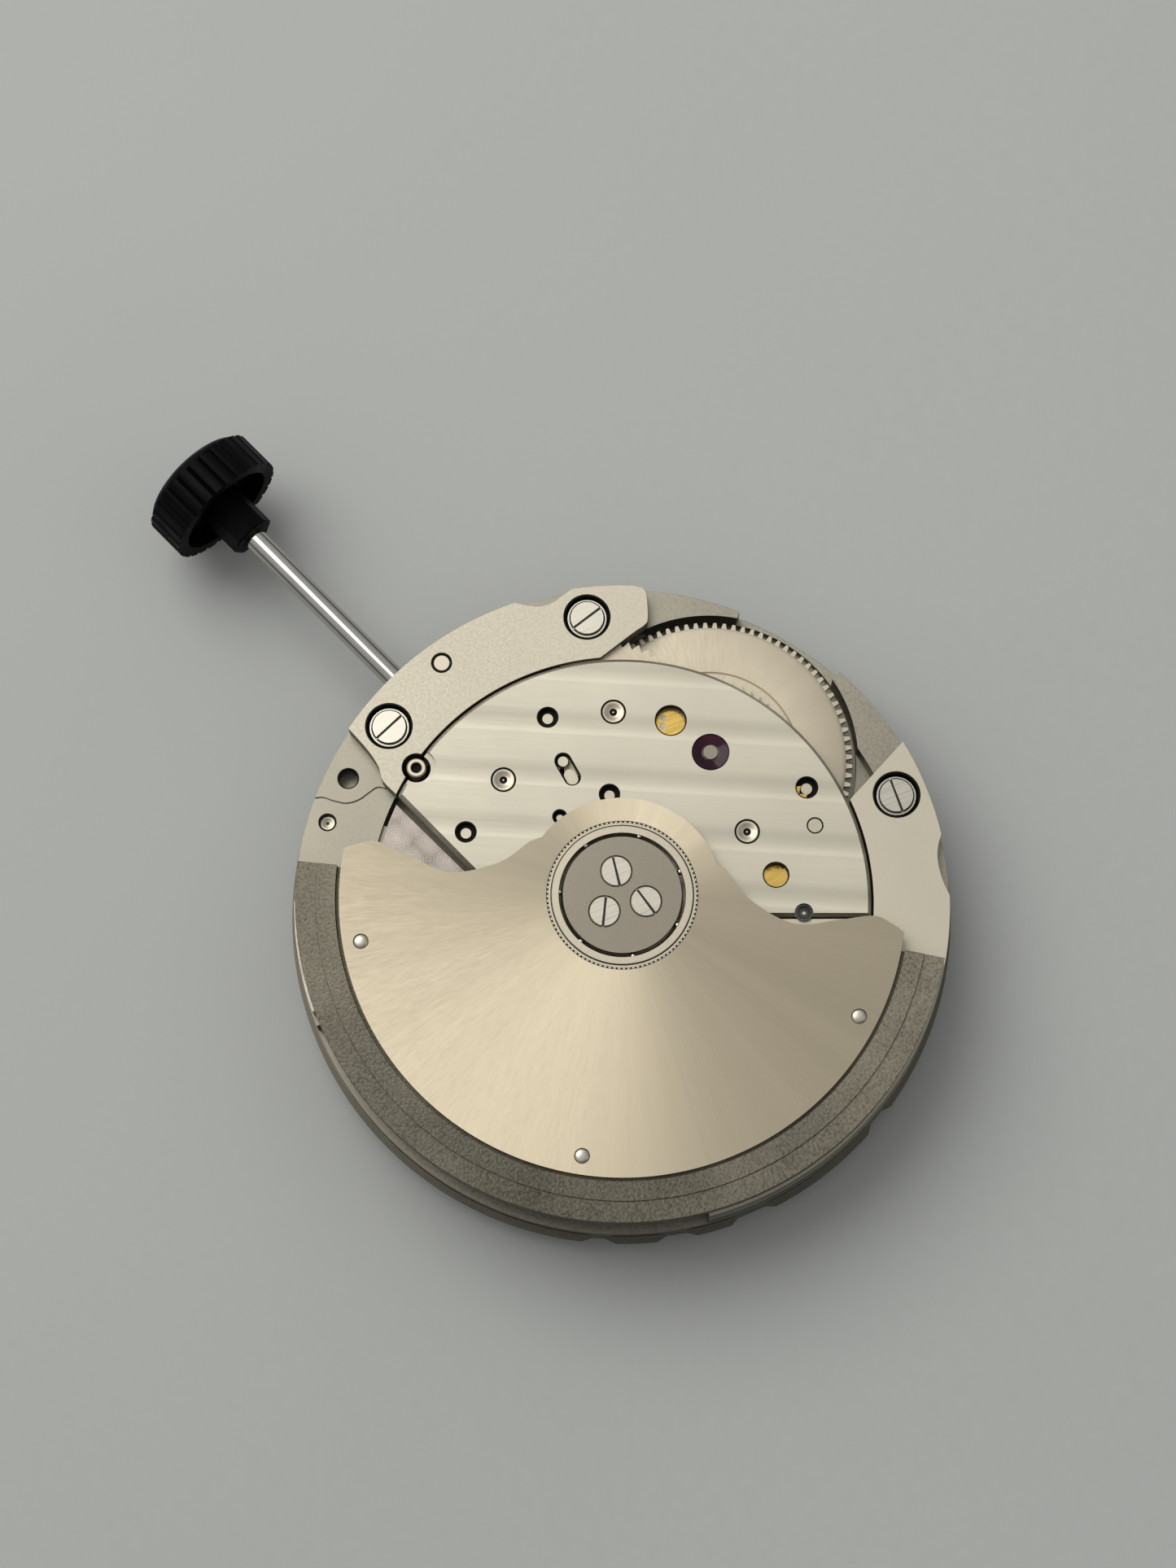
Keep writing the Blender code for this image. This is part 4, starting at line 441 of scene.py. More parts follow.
def grained(name, colour, contrast, rough, grain, strength=0.25, depth=0.004, fan=0.0, wall=1.0, rim=0.0):
    """Metal with a fine grain, with painted shade: walls keep only a share of its tone, and it darkens past a
    rim's radius.
    """
    n = Nodes(name)
    x, y = n.parts()
    if fan:
        n.ground_along(x, y)
    cloud = n.noise(300, detail=4)
    fine = n.noise(grain, detail=3)
    tone = n.ramp(n.blended(cloud, fine, 0.7), (0.3, shade(colour, 1 - contrast)), (0.7, colour))
    # Painted shade: steep walls keep only the wall share of the tone
    tone = n.times(tone, n.ramp(n.math("ABSOLUTE", n.upward(n.facing)), (0.25, wall), (0.7, 1.0)))
    # Painted shade: past the rim's radius the tone falls to 0.4 within 0.1 mm
    if rim:
        past = n.math("MULTIPLY_ADD", n.reach(x, y), 1 / MM, -rim)
        tone = n.times(tone, n.ramp(past, (0.0, 1.0), (0.1, 0.4)))
    shine = n.ramp(fine, (0.3, rough * 0.85), (0.7, rough * 1.2))
    return n.done(tone, shine, n.bump(fine, strength, depth), metallic=1.0, anisotropic=fan)


def brushed(name, colour, contrast, rough, degrees):
    """Metal with straight grinding marks."""
    n = Nodes(name)
    marks = n.streaks(700, 16000, degrees)
    tone = n.ramp(marks, (0.3, shade(colour, 1 - contrast)), (0.7, colour))
    shine = n.ramp(marks, (0.3, rough * 0.8), (0.7, rough * 1.25))
    return n.done(tone, shine, n.bump(marks, 0.18, 0.003), metallic=1.0)


def polished(name, colour, contrast, rough):
    """Bright metal under a faint haze."""
    n = Nodes(name)
    haze = n.noise(1500, detail=5)
    tone = n.ramp(haze, (0.3, shade(colour, 1 - contrast)), (0.75, colour))
    shine = n.ramp(haze, (0.3, rough * 0.7), (0.75, rough * 1.5))
    return n.done(tone, shine, n.bump(n.noise(14000), 0.05, 0.002), metallic=1.0)


# Painted highlight and shade across one stripe: place in its width, and level
STRIPE_SHEEN_AND_SHADE = ((0.0, 0.97), (0.05, 1.0), (0.09, 0.95), (0.16, 0.85), (0.3, 0.75), (0.37, 0.77), (0.5, 0.89))
STRIPE_SHEEN_AND_SHADE += ((0.9, 0.95),)


def striped(name, colour):
    """Broad parallel stripes, each ground to a shallow scallop, over fine grinding marks along them, with
    painted highlight and shade across each stripe.
    """
    pitch, slope, start = 2.15, 0.0594, 6.45
    n = Nodes(name)
    x, y = n.parts()
    u = n.math("ADD", n.math("MULTIPLY", x, ACROSS[0] / MM), n.math("MULTIPLY", y, ACROSS[1] / MM))
    v = n.math("ADD", n.math("MULTIPLY", x, UPWARD[0] / MM), n.math("MULTIPLY", y, UPWARD[1] / MM))
    along = n.math("MULTIPLY_ADD", u, slope, n.math("ADD", v, -start))
    stripe = n.math("FRACT", n.math("DIVIDE", along, pitch))
    drift = n.noise(260, detail=4)
    marks = n.streaks(500, 15000, -PHOTO_TURN - math.degrees(math.atan(slope)))
    metal = n.ramp(n.blended(drift, marks, 0.55), (0.35, shade(colour, 0.87)), (0.65, colour))
    # Painted highlight and shade across each stripe
    tone = n.ramp(stripe, *STRIPE_SHEEN_AND_SHADE)
    scallop = n.math("POWER", n.math("SUBTRACT", stripe, 0.5), 2.0)
    normal = n.bump(marks, 0.12, 0.003, n.bump(scallop, 0.5, 0.12))
    shine = n.ramp(marks, (0.3, 0.42), (0.7, 0.56))
    return n.done(n.times(metal, tone), shine, normal, metallic=1.0)


def sunray(name, colour, contrast, rough, fan, about=(0.0, 0.0)):
    """Grinding marks that run out from an axis, so the gloss spreads round it as light and dark fans."""
    n = Nodes(name)
    x, y = n.parts(about)
    turn = n.math("ARCTAN2", y, x)
    cosine, sine = n.math("COSINE", turn), n.math("SINE", turn)
    lines = n.bundle(cosine, sine, n.math("MULTIPLY", n.reach(x, y), 14.0))
    fine = n.noise(110.0, lines, detail=4, roughness=0.6)
    fans = n.noise(6.0, n.bundle(cosine, sine, 0.0), detail=3)
    tone = n.ramp(n.blended(fans, fine, 0.5), (0.32, shade(colour, 1 - contrast)), (0.68, colour))
    shine = n.ramp(fine, (0.3, rough * 0.85), (0.7, rough * 1.15))
    n.ground_along(n.math("MULTIPLY", y, -1.0), x)
    return n.done(tone, shine, n.bump(fine, 0.06, 0.003), metallic=1.0, anisotropic=fan)


def perlage(name, colour, rough):
    """Metal stippled with overlapping ground spots."""
    n = Nodes(name)
    inputs = {"Vector": n.place, "Scale": 900, "Randomness": 0.35}
    reach = n.add("TexVoronoi", inputs, voronoi_dimensions="2D").outputs["Distance"]
    rings = n.math("SINE", n.math("MULTIPLY", reach, 60.0))
    tone = n.ramp(reach, (0.0, colour), (0.45, shade(colour, 0.82)), (0.6, shade(colour, 0.66)))
    shine = n.ramp(n.noise(9000), (0.3, rough * 0.85), (0.7, rough * 1.2))
    return n.done(tone, shine, n.bump(rings, 0.1, 0.004), metallic=1.0)


def stone(name, colour):
    """Polished synthetic ruby, darker in its depth."""
    n = Nodes(name)
    cloud = n.noise(900, detail=3)
    tone = n.ramp(cloud, (0.35, shade(colour, 0.3)), (0.7, colour))
    shine = n.ramp(n.noise(3000), (0.3, 0.06), (0.7, 0.14))
    return n.done(tone, shine, n.bump(cloud, 0.04, 0.004), metallic=0.0, specular_ior_level=0.25)


def moulded(name, colour, rough, gloss=0.5):
    """Moulded plastic with a fine skin."""
    n = Nodes(name)
    haze = n.noise(600, detail=4)
    tone = n.ramp(haze, (0.35, shade(colour, 0.85)), (0.7, colour))
    shine = n.ramp(haze, (0.3, rough * 0.75), (0.75, rough * 1.4))
    skin = n.bump(n.noise(5200), 0.08, 0.004)
    return n.done(tone, shine, skin, metallic=0.0, specular_ior_level=gloss)


# The wall shares paint shade on steep walls, and the plate's rim paints shade on its flange past 12.72 mm
PLATE = grained("plated_plate", (0.41, 0.38, 0.30), 0.36, 0.4, 8000, wall=0.3, rim=12.72)
RING_METAL = grained("plated_ring_bridge", (0.69, 0.64, 0.51), 0.15, 0.56, 9000, wall=0.3)
STRIPES = striped("striped_bridge", (0.71, 0.665, 0.535))
COVER_METAL = perlage("stippled_cover", (0.42, 0.37, 0.32), 0.36)
ROTOR_METAL = sunray("sunray_rotor", (0.665, 0.58, 0.42), 0.16, 0.44, 0.85)
WEIGHT_METAL = grained("grained_weight", (0.30, 0.275, 0.208), 0.74, 0.46, 9000, 0.8, 0.016, 0.8, wall=0.4)
CAP_METAL = grained("bearing_cap", (0.31, 0.28, 0.222), 0.14, 0.36, 12000)
STEEL = polished("polished_steel", (0.74, 0.71, 0.63), 0.14, 0.14)
STEM_METAL = polished("bright_stem_steel", (0.54, 0.525, 0.48), 0.12, 0.05)
SATIN = grained("satin_steel", (0.60, 0.545, 0.42), 0.16, 0.38, 12000)
SCREW_STEEL = brushed("screw_steel", (0.62, 0.585, 0.49), 0.07, 0.3, -PHOTO_TURN + 20)
DARK_STEEL = polished("dark_steel", (0.10, 0.10, 0.095), 0.5, 0.28)
# Near-black finishes for painted shade: in screw slots, and in bores, gaps and other hollows
SLOT_SHADE = moulded("slot_shade", (0.05, 0.046, 0.038), 0.6, 0.2)
SHADED = moulded("shaded_bore", (0.012, 0.012, 0.011), 0.6, 0.1)
BARREL_METAL = sunray("barrel_lid_metal", (0.72, 0.645, 0.5), 0.08, 0.6, 0.0, middle_of("barrel_drum"))
BRASS = brushed("gilt_brass", (0.86, 0.58, 0.15), 0.22, 0.24, 70)
RUBY = stone("ruby", (0.06, 0.004, 0.026))
BLACK = moulded("black_moulding", (0.0015, 0.0015, 0.0016), 0.48, 0.08)
BLUED = polished("blued_spring", (0.10, 0.13, 0.30), 0.5, 0.2)
DATE_WHITE = moulded("date_ring_white", (0.78, 0.78, 0.75), 0.42)
DATE_BLACK = moulded("date_ink", (0.02, 0.02, 0.02), 0.5)


# Main plate and bridges: spans of direction, wells and bores by radius, and lines by radius and direction

PALLET_BRIDGE_RISE = 0.25
STEM_LAND = (-66.0, 13.5, 68.0)
FAR_LAND = (-209.3, -87.0)
COVER_POST = (8.3, 27.0, 38.0)
DATE_WELL, DATE_ROOM = 11.24, 0.24
MOTION_WELL, MOTION_DEPTH = 8.0, 0.72
BARREL_WELL, BALANCE_WELL, ESCAPE_WELL = 5.84, 4.4, 1.65
ARBOR_HOLE, LEVER_HOLE, LEVER_BORE = 0.16, 0.62, 0.56
STEM_BORE = (0.5, 7.4, 13.1)
PINION_SPACE = (5.06, 9.2, 0.88)
SEAM = ((12.95, 27.0), (12.5, 25.9), (12.06, 25.8), (11.52, 25.4), (11.1, 23.8), (10.86, 21.7), (10.65, 19.9))
SEAM += ((10.3, 19.3),)
SEAM_WIDTH, SEAM_DEPTH = 0.07, 0.1
COVER_CORNER = (4.7, 3.48)
COVER_ARC = (LAND_EDGE - 0.17, 21.5, 38.0)
COVER_SIDE = ((6.6, 5.4), (5.4, 4.6), COVER_CORNER)
# Painted shade in holes: room at the hole's side, wall, drop below the top, and floor
LINING_GAP, LINING_WALL, LINING_DROP, LINING_FLOOR = 0.008, 0.05, 0.02, 0.014

# The two ring bridges' ends, the shallow dips in their outer edges, and the spans between
LEFT_END = ((BRIDGE_EDGE, 13.2), (11.6, 14.8), (10.9, 16.6), (10.45, 18.9), (BRIDGE_INNER, 20.4))
RIGHT_END = ((BRIDGE_INNER, -39.4), (10.72, -46.7), (11.1, -49.1), (11.4, -49.6), (12.3, -49.0))
RIGHT_END += ((12.6, -48.3), (BRIDGE_EDGE, -46.5))
BARREL_DIP = ((BRIDGE_EDGE, -35.4), (12.47, -33.4), (12.29, -31.6), (12.26, -29.0), (12.47, -26.6))
BARREL_DIP += ((BRIDGE_EDGE, -25.0),)
TRAIN_DIP = ((BRIDGE_EDGE, -133.6), (12.5, -131.4), (12.38, -128.8), (12.38, -126.4), (12.5, -124.3))
TRAIN_DIP += ((BRIDGE_EDGE, -122.6),)
BARREL_INSIDE, BARREL_OUTSIDE = (18.0, -37.5), ((-45.0, -36.5), (-24.0, 11.0))
TRAIN_INSIDE, TRAIN_OUTSIDE = (-110.3, -209.3), ((-209.3, -135.0), (-121.5, -104.5))
LOBE_RADIUS, LOBE_INSIDE, LOBE_OUTSIDE = 3.56, (-209.3, -147.0), (-138.8, -194.3)

# The striped bridge
STRIPED_START, STRIPED_HUB, STRIPED_CHAMFER = -138.5, (3.4, 82.0, 214.0), 0.13
HUB_WELL, HUB_WELL_FLOOR = 3.0, 0.16
LEVER_SINK, LEVER_SINK_DEPTH = 0.77, 0.3
PIN_SINK, JEWEL_SEAT, RUBY_SEAT = 0.14, 0.18, 0.74
BORE_DEPTH, WINDOW_FLOOR, GILT_THICKNESS = 0.32, 0.5, 0.12
EYED_JEWELS = ("barrel_jewel", "reversing_jewel", "intermediate_jewel", "crown_wheel_jewel")


def traced(places):
    """A smooth line through places given by radius and direction."""
    return smooth([polar(*at) for at in places])


def rim_outline():
    """The plate's outer line, which steps in to the wall between the flange's spans."""
    line = arc(CASING, FLANGE_SPANS[0][1], FLANGE_SPANS[3][0] + 360)[1:-1]
    for span, following in zip(FLANGE_SPANS[::-1], (*FLANGE_SPANS[2::-1], None)):
        line += arc(FLANGE, *span)
        if following:
            line += arc(CASING, span[1], following[0])[1:-1]
    return line


def linings(name, holes, top, depth, core=None):
    """Painted shade: near-black walls in round holes, which sink away from the light, with a floor out from
    the core's radius.
    """
    low, high = top - depth, top - LINING_DROP
    cups = []
    for d, a, r in holes:
        outer, inner = r - LINING_GAP, r - LINING_WALL
        profile = [(outer, low), (outer, high), (inner, high)]
        if core is None:
            profile += [(inner, low)]
        else:
            profile += [(inner, low + LINING_FLOOR), (core, low + LINING_FLOOR), (core, low)]
        cups.append(turned(profile, 40, polar(d, a)))
    piece(name, gathered(cups), SHADED, slot="barrel_jewel")


def dished_jewel(top, radius, hole):
    """The profile of a jewel or its setting, whose face dips towards the hole."""
    low, dip, soft, curve = top - 0.14, 0.06, 0.012, 0.07
    face = radius - 0.09
    profile = [(hole, top - dip), (hole + curve, top - 0.75 * dip), (face - 0.04, top - 0.3 * dip)]
    return [*profile, (face, top), (radius - soft, top), (radius, top - soft), (radius, low), (hole, low)]


def flat_pin(radius, top, depth, at, steps=36):
    """A round pin with a flat face and a narrow chamfer."""
    soft = 0.03
    profile = [(0, top), (radius - soft, top), (radius, top - soft), (radius, top - depth), (0, top - depth)]
    return turned(profile, steps, at)


def plate():
    base = top_of("pallet_bridge") - PALLET_BRIDGE_RISE
    edge = CASING - 2 * FIT
    start, step, end = STEM_LAND
    stem_side = arc(edge, start, end) + arc(LAND_EDGE, end, step) + arc(LAND_INNER, step, start)
    post, *post_span = COVER_POST
    body = joined(
        flat(0, FLANGE_TOP, rim_outline()),
        disc(CASING - FIT, FLANGE_TOP - RUN_IN, base + RUN_IN, sides=180),
        flat(base, COVER_TOP, stem_side),
        flat(base, COVER_TOP, sector(LAND_INNER, edge, *FAR_LAND)),
        flat(base, COVER_BOTTOM - FIT, sector(post, LAND_EDGE + RUN_IN, *post_span)),
    )
    floor_height = bottom_of("barrel_drum") - PLAY
    above = COVER_TOP + RUN_IN
    jewel_place, jewel_radius, jewel_sink = polar(*PLATE_JEWEL[:2]), PLATE_JEWEL[2], 0.42
    bore, *bore_span = STEM_BORE
    near, far, half = PINION_SPACE
    cuts = [
        disc(DATE_WELL, -RUN_IN, bottom_of("date_ring") + DATE_ROOM, sides=150),
        disc(MOTION_WELL, 0, MOTION_DEPTH, sides=120),
        disc(BARREL_WELL, floor_height, above, middle_of("barrel_drum"), 120),
        disc(BALANCE_WELL, floor_height, above, middle_of("balance_wheel"), 96),
        disc(ESCAPE_WELL, floor_height - FIT, above, middle_of("escape_wheel"), 48),
        disc(ARBOR_HOLE, 0, above),
        disc(ARBOR_HOLE, 0, above, middle_of("third_wheel")),
        disc(LEVER_HOLE, base + RUN_IN, above, LEVER),
        disc(LAND_HOLE[2], base + RUN_IN, above, polar(*LAND_HOLE[:2])),
        disc(jewel_radius + FIT, COVER_TOP - jewel_sink, above, jewel_place),
        flat(COVER_TOP - SEAM_DEPTH, above, band(traced(SEAM), SEAM_WIDTH)),
        along_stem(disc(bore, *bore_span)),
        box((near, -half, STEM_Z - half), (far, half, above)),
    ]
    piece("main_plate_metal", cut(body, *cuts), PLATE, "main_plate", bevel=0.03)
    drop, rim, hole, depth = 0.2, 0.05, 0.08, 0.38
    jewel = dished_jewel(COVER_TOP - drop, jewel_radius - rim, hole)
    piece("plate_jewel", turned(jewel, 40, jewel_place), SATIN, slot="crown_wheel_jewel")
    # Painted shade in the land's hole and round the plate's jewel
    linings("plate_bore_shade", (LAND_HOLE, PLATE_JEWEL), COVER_TOP, depth)
    cover = flat(COVER_BOTTOM, COVER_TOP, [COVER_CORNER] + arc(*COVER_ARC) + smooth(COVER_SIDE)[:-1])
    piece("setting_cover_metal", cover, COVER_METAL, "setting_cover", bevel=0.02)


def ring_bridges():
    above = BRIDGE_TOP + RUN_IN
    sink = BRIDGE_TOP - HEAD_DROP - HEAD_DEPTH - FIT
    sinks = [disc(SCREW_SINK, sink, above, polar(d, a), 56) for d, a, _ in BRIDGE_SCREWS]
    pin_place, pin_sink, pin_drop, pin_radius, pin_depth = polar(*RING_PIN[:2]), 0.3, 0.03, 0.33, 0.25

    outline = traced(LEFT_END) + arc(BRIDGE_INNER, *BARREL_INSIDE) + traced(RIGHT_END)
    before, after = (arc(BRIDGE_EDGE, *span) for span in BARREL_OUTSIDE)
    body = flat(BRIDGE_BOTTOM, BRIDGE_TOP, outline + before + traced(BARREL_DIP) + after)
    cuts = [disc(LEVER_BORE, BRIDGE_BOTTOM - 1, above, LEVER), *sinks[:2]]
    cuts += [disc(RING_PIN[2], BRIDGE_TOP - pin_sink, above, pin_place)]
    body = cut(body, *cuts)
    piece("barrel_bridge_metal", body, RING_METAL, "barrel_bridge", bevel=0.04, segments=3)
    pin = flat_pin(pin_radius, BRIDGE_TOP - pin_drop, pin_depth, pin_place, 40)
    piece("ring_pin", pin, SATIN, slot="bridge_screw_1")
    # Painted shade in the pin's bore
    linings("ring_pin_bore_shade", (RING_PIN,), BRIDGE_TOP, pin_depth + pin_drop)

    before, after = (arc(BRIDGE_EDGE, *span) for span in TRAIN_OUTSIDE)
    outline = arc(BRIDGE_INNER, *TRAIN_INSIDE) + before + traced(TRAIN_DIP) + after
    lobe = arc(LOBE_RADIUS, *LOBE_INSIDE) + arc(BRIDGE_INNER + RUN_IN, *LOBE_OUTSIDE)
    body = joined(flat(BRIDGE_BOTTOM, BRIDGE_TOP, outline), flat(AUTO_BOTTOM, BRIDGE_TOP - RUN_IN, lobe))
    body = cut(body, sinks[2])
    piece("train_bridge_metal", body, RING_METAL, "train_bridge", bevel=0.04, segments=3)
    # Painted shade in the screws' sinks, with a floor under the heads
    holes = [(d, a, SCREW_SINK) for d, a, _ in BRIDGE_SCREWS]
    core, room = 0.37, 0.002
    linings("screw_sink_shade", holes, BRIDGE_TOP, BRIDGE_TOP - sink - room, core)


def striped_bridge():
    start = math.degrees(math.asin(STRIPED_CUT / STRIPED_RADIUS))
    middle = (STRIPED_RADIUS * math.cos(math.radians(start)) / 2, STRIPED_CUT)
    outline = arc(STRIPED_RADIUS, STRIPED_START, start) + [middle] + arc(*STRIPED_HUB)
    body = chamfered(flat(AUTO_BOTTOM, AUTO_TOP, outline), STRIPED_CHAMFER, AUTO_TOP)
    above, below = AUTO_TOP + RUN_IN, AUTO_BOTTOM - RUN_IN
    slot_start, slot_end, slot_half = BRIDGE_SLOT
    cuts = [disc(r, below, above, polar(d, a)) for d, a, r in (*WINDOWS, *BRIDGE_HOLES)]
    cuts += [disc(r, AUTO_TOP - PIN_SINK, above, polar(d, a)) for d, a, r in (CLICK_PIN, TRAIN_JEWEL)]
    cuts += [flat(below, above, long_hole(polar(*slot_start), polar(*slot_end), slot_half))]
    for node in EYED_JEWELS:
        seat = RUBY_SEAT if node == "barrel_jewel" else EYELET_HOLE
        cuts.append(disc(seat, AUTO_TOP - JEWEL_SEAT, above, middle_of(node)))
    cuts += [disc(HUB_WELL, AUTO_BOTTOM + HUB_WELL_FLOOR, above, sides=90)]
    cuts += [disc(LEVER_SINK, AUTO_TOP - LEVER_SINK_DEPTH, above, LEVER)]
    cuts += [disc(LEVER_BORE, below, above, LEVER)]
    piece("striped_bridge_metal", cut(body, *cuts), STRIPES, "automatic_bridge", bevel=0.02)
    for node in EYED_JEWELS:
        bridge_jewel(node, middle_of(node))
    bridge_trim()


def bridge_jewel(node, at):
    top = AUTO_TOP - 0.015
    if node == "barrel_jewel":
        hole, slope, rim, low = 0.34, 0.5, 0.72, top - 0.14
        profile = [(hole, top - 0.05), (slope, top - 0.02), (rim - 0.03, top), (rim, top - 0.02)]
        profile += [(rim, low), (hole, low)]
        piece("barrel_ruby", turned(profile, 56, at), RUBY, node)
        pivot, pivot_depth = 0.31, 0.13
        pin = flat_pin(pivot, top, pivot_depth, at, 40)
        piece("barrel_pivot", pin, CAP_METAL, slot="barrel_arbor")
        return
    hole, low = 0.15, AUTO_TOP - 0.17
    setting = turned(dished_jewel(top, EYELET, hole), 48, at)
    piece(node + "_setting", setting, SATIN, node)
    # Painted shade: a near-black well below the hole, and a near-black ring in the gap round the setting
    well_shade, well_top = hole - 0.002, low + 0.04
    well_shade = turned([(0, well_top), (well_shade, well_top), (well_shade, low), (0, low)], 24, at)
    rim = ring(EYELET + 0.004, EYELET_HOLE - 0.006, low, top - 0.05, at)
    piece(node + "_gap_shade", gathered([well_shade, rim]), SHADED, slot=node)
    pivot, base = 0.05, low + 0.03
    dot = [(0, low + 0.1), (0.7 * pivot, low + 0.09), (pivot, base), (0, base)]
    piece(node + "_pivot", turned(dot, 24, at), SATIN, slot=node)


def bridge_trim():
    """Pins sunk in the bridge's holes, painted shade on the walls of its holes, windows and slot, and the
    gilt wheels seen in its windows.
    """
    # Painted shade in the bridge's bores and windows
    linings("bridge_bore_shade", BRIDGE_HOLES, AUTO_TOP, BORE_DEPTH, 0.0)
    linings("bridge_window_shade", WINDOWS, AUTO_TOP, BORE_DEPTH)

    start, end = (polar(*at) for at in BRIDGE_SLOT[:2])
    half = BRIDGE_SLOT[2]
    # Painted shade: near-black walls and floor in the slot
    outer, inner = long_hole(start, end, half - LINING_GAP), long_hole(start, end, half - LINING_WALL)
    wall = flat(AUTO_BOTTOM, AUTO_TOP - LINING_DROP, outer, inner)
    base = flat(AUTO_BOTTOM, AUTO_BOTTOM + 0.03, long_hole(start, end, half - 0.06))
    piece("slot_shade_lining", gathered([wall, base]), SHADED, slot="click")
    spring_start = tuple((3 * Vector(end) + Vector(start)) / 4)
    spring = flat(AUTO_BOTTOM + 0.04, AUTO_TOP - 0.3, long_hole(spring_start, end, half - 0.1))
    piece("slot_spring", spring, SATIN, slot="click", bevel=0.02)

    click_drop, click_depth, slot_pin, slot_drop, slot_depth = 0.02, 0.1, 0.23, 0.1, 0.35
    share, drop, depth = 0.55, 0.25, 0.06
    pins = [
        flat_pin(CLICK_PIN[2] - 0.03, AUTO_TOP - click_drop, click_depth, polar(*CLICK_PIN[:2])),
        flat_pin(slot_pin, AUTO_TOP - slot_drop, slot_depth, start),
        *(flat_pin(share * r, AUTO_TOP - drop, depth, polar(d, a)) for d, a, r in BRIDGE_HOLES),
    ]
    piece("bridge_pins", gathered(pins), SATIN, slot="bridge_screw_1")
    # Painted shade in the click pin's bore
    click_shade_depth = 0.13
    linings("click_pin_bore_shade", (CLICK_PIN,), AUTO_TOP, click_shade_depth)

    top, hole, rim = AUTO_TOP - 0.04, 0.08, TRAIN_JEWEL[2] - 0.02
    dish, low = top - 0.03, top - 0.09
    black = [(hole, dish), (0.2, dish), (0.24, top), (rim, top), (rim, low), (hole, low)]
    black = turned(black, 40, polar(*TRAIN_JEWEL[:2]))
    piece("train_jewel", black, DARK_STEEL, slot="barrel_jewel")

    gilt = []
    notch, notch_reach, notch_turns = 0.13, 0.33, (70, 130)
    for d, a, r in WINDOWS:
        at, low = polar(d, a), AUTO_TOP - WINDOW_FLOOR
        places = [polar(notch_reach, a + turn, at) for turn in notch_turns]
        notches = [disc(notch, low + 0.05, low + 0.2, place) for place in places]
        gilt.append(cut(disc(r - 0.06, low, low + GILT_THICKNESS, at), *notches))
    piece("window_brass", gathered(gilt), BRASS, slot="third_wheel", bevel=0.015)


# Balance cock

COCK_KNEES = ((2.6, 7.3), (2.2, 10.3))
COCK_FOOT = (9.9, BRIDGE_EDGE, 46.0, 66.0)


def balance_cock():
    """The cock over the balance, with its jewel held by a sprung setting."""
    at = middle_of("balance_wheel")
    boss, boss_start, boss_end = 1.3, -75.0, -265.0
    near, start, edge, end = 10.2, 46.5, BRIDGE_EDGE - 0.1, 65.5
    side = smooth([polar(near, start), COCK_KNEES[0], polar(boss, boss_start, at)], 10)
    other = smooth([polar(boss, boss_end + 360, at), COCK_KNEES[1], polar(edge, end)], 10)
    outline = arc(edge, end, start) + side + arc(boss, boss_start, boss_end, at, 6)[1:-1] + other[:-1]
    foot = flat(BRIDGE_BOTTOM, BRIDGE_TOP - 0.1, sector(*COCK_FOOT))
    stud, stud_turn = 0.12, 8.0
    stud_place = polar(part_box("hairspring")[1].x / MM - at[0] - FIT, stud_turn, at)
    stud = disc(stud, top_of("hairspring") - 0.1, BRIDGE_BOTTOM + 0.2, stud_place, 20)
    body = joined(flat(BRIDGE_BOTTOM + RUN_IN, BRIDGE_TOP, outline), foot, stud)
    screw_sink, setting_sink, above = 0.7, 0.9, BRIDGE_TOP + RUN_IN
    cuts = [disc(screw_sink, BRIDGE_TOP - 0.3, above, polar(*COCK_SCREW[:2]))]
    cuts += [disc(setting_sink, BRIDGE_TOP - 0.2, above, at)]
    piece("balance_cock_metal", cut(body, *cuts), STRIPES, "balance_cock", bevel=0.04)
    top = BRIDGE_TOP - 0.03
    low, inner, outer = top - 0.16, 0.42, 0.88
    setting = [(inner, top - 0.05), (inner + 0.08, top), (outer - 0.04, top), (outer, top - 0.04)]
    setting += [(outer, low), (inner, low)]
    piece("shock_setting", turned(setting, 48, at), BRASS, slot="balance_cock")
    edge = inner - 0.01
    jewel = [(0, top - 0.03), (0.3, top - 0.05), (edge, top - 0.09), (edge, low), (0, low)]
    piece("shock_jewel", turned(jewel, 40, at), RUBY, slot="barrel_jewel")


# Screws

HEAD_SOFT, LEDGE_SOFT, LEDGE_DROP, SHANK = 0.05, 0.03, 0.05, 0.35
# The slot's strip of painted shade: room at its sides, inset at its ends, lift off the slot's floor, drop
# below the top
STRIP_GAP, STRIP_END, STRIP_LIFT, STRIP_DROP = 0.003, 0.04, 0.002, 0.03


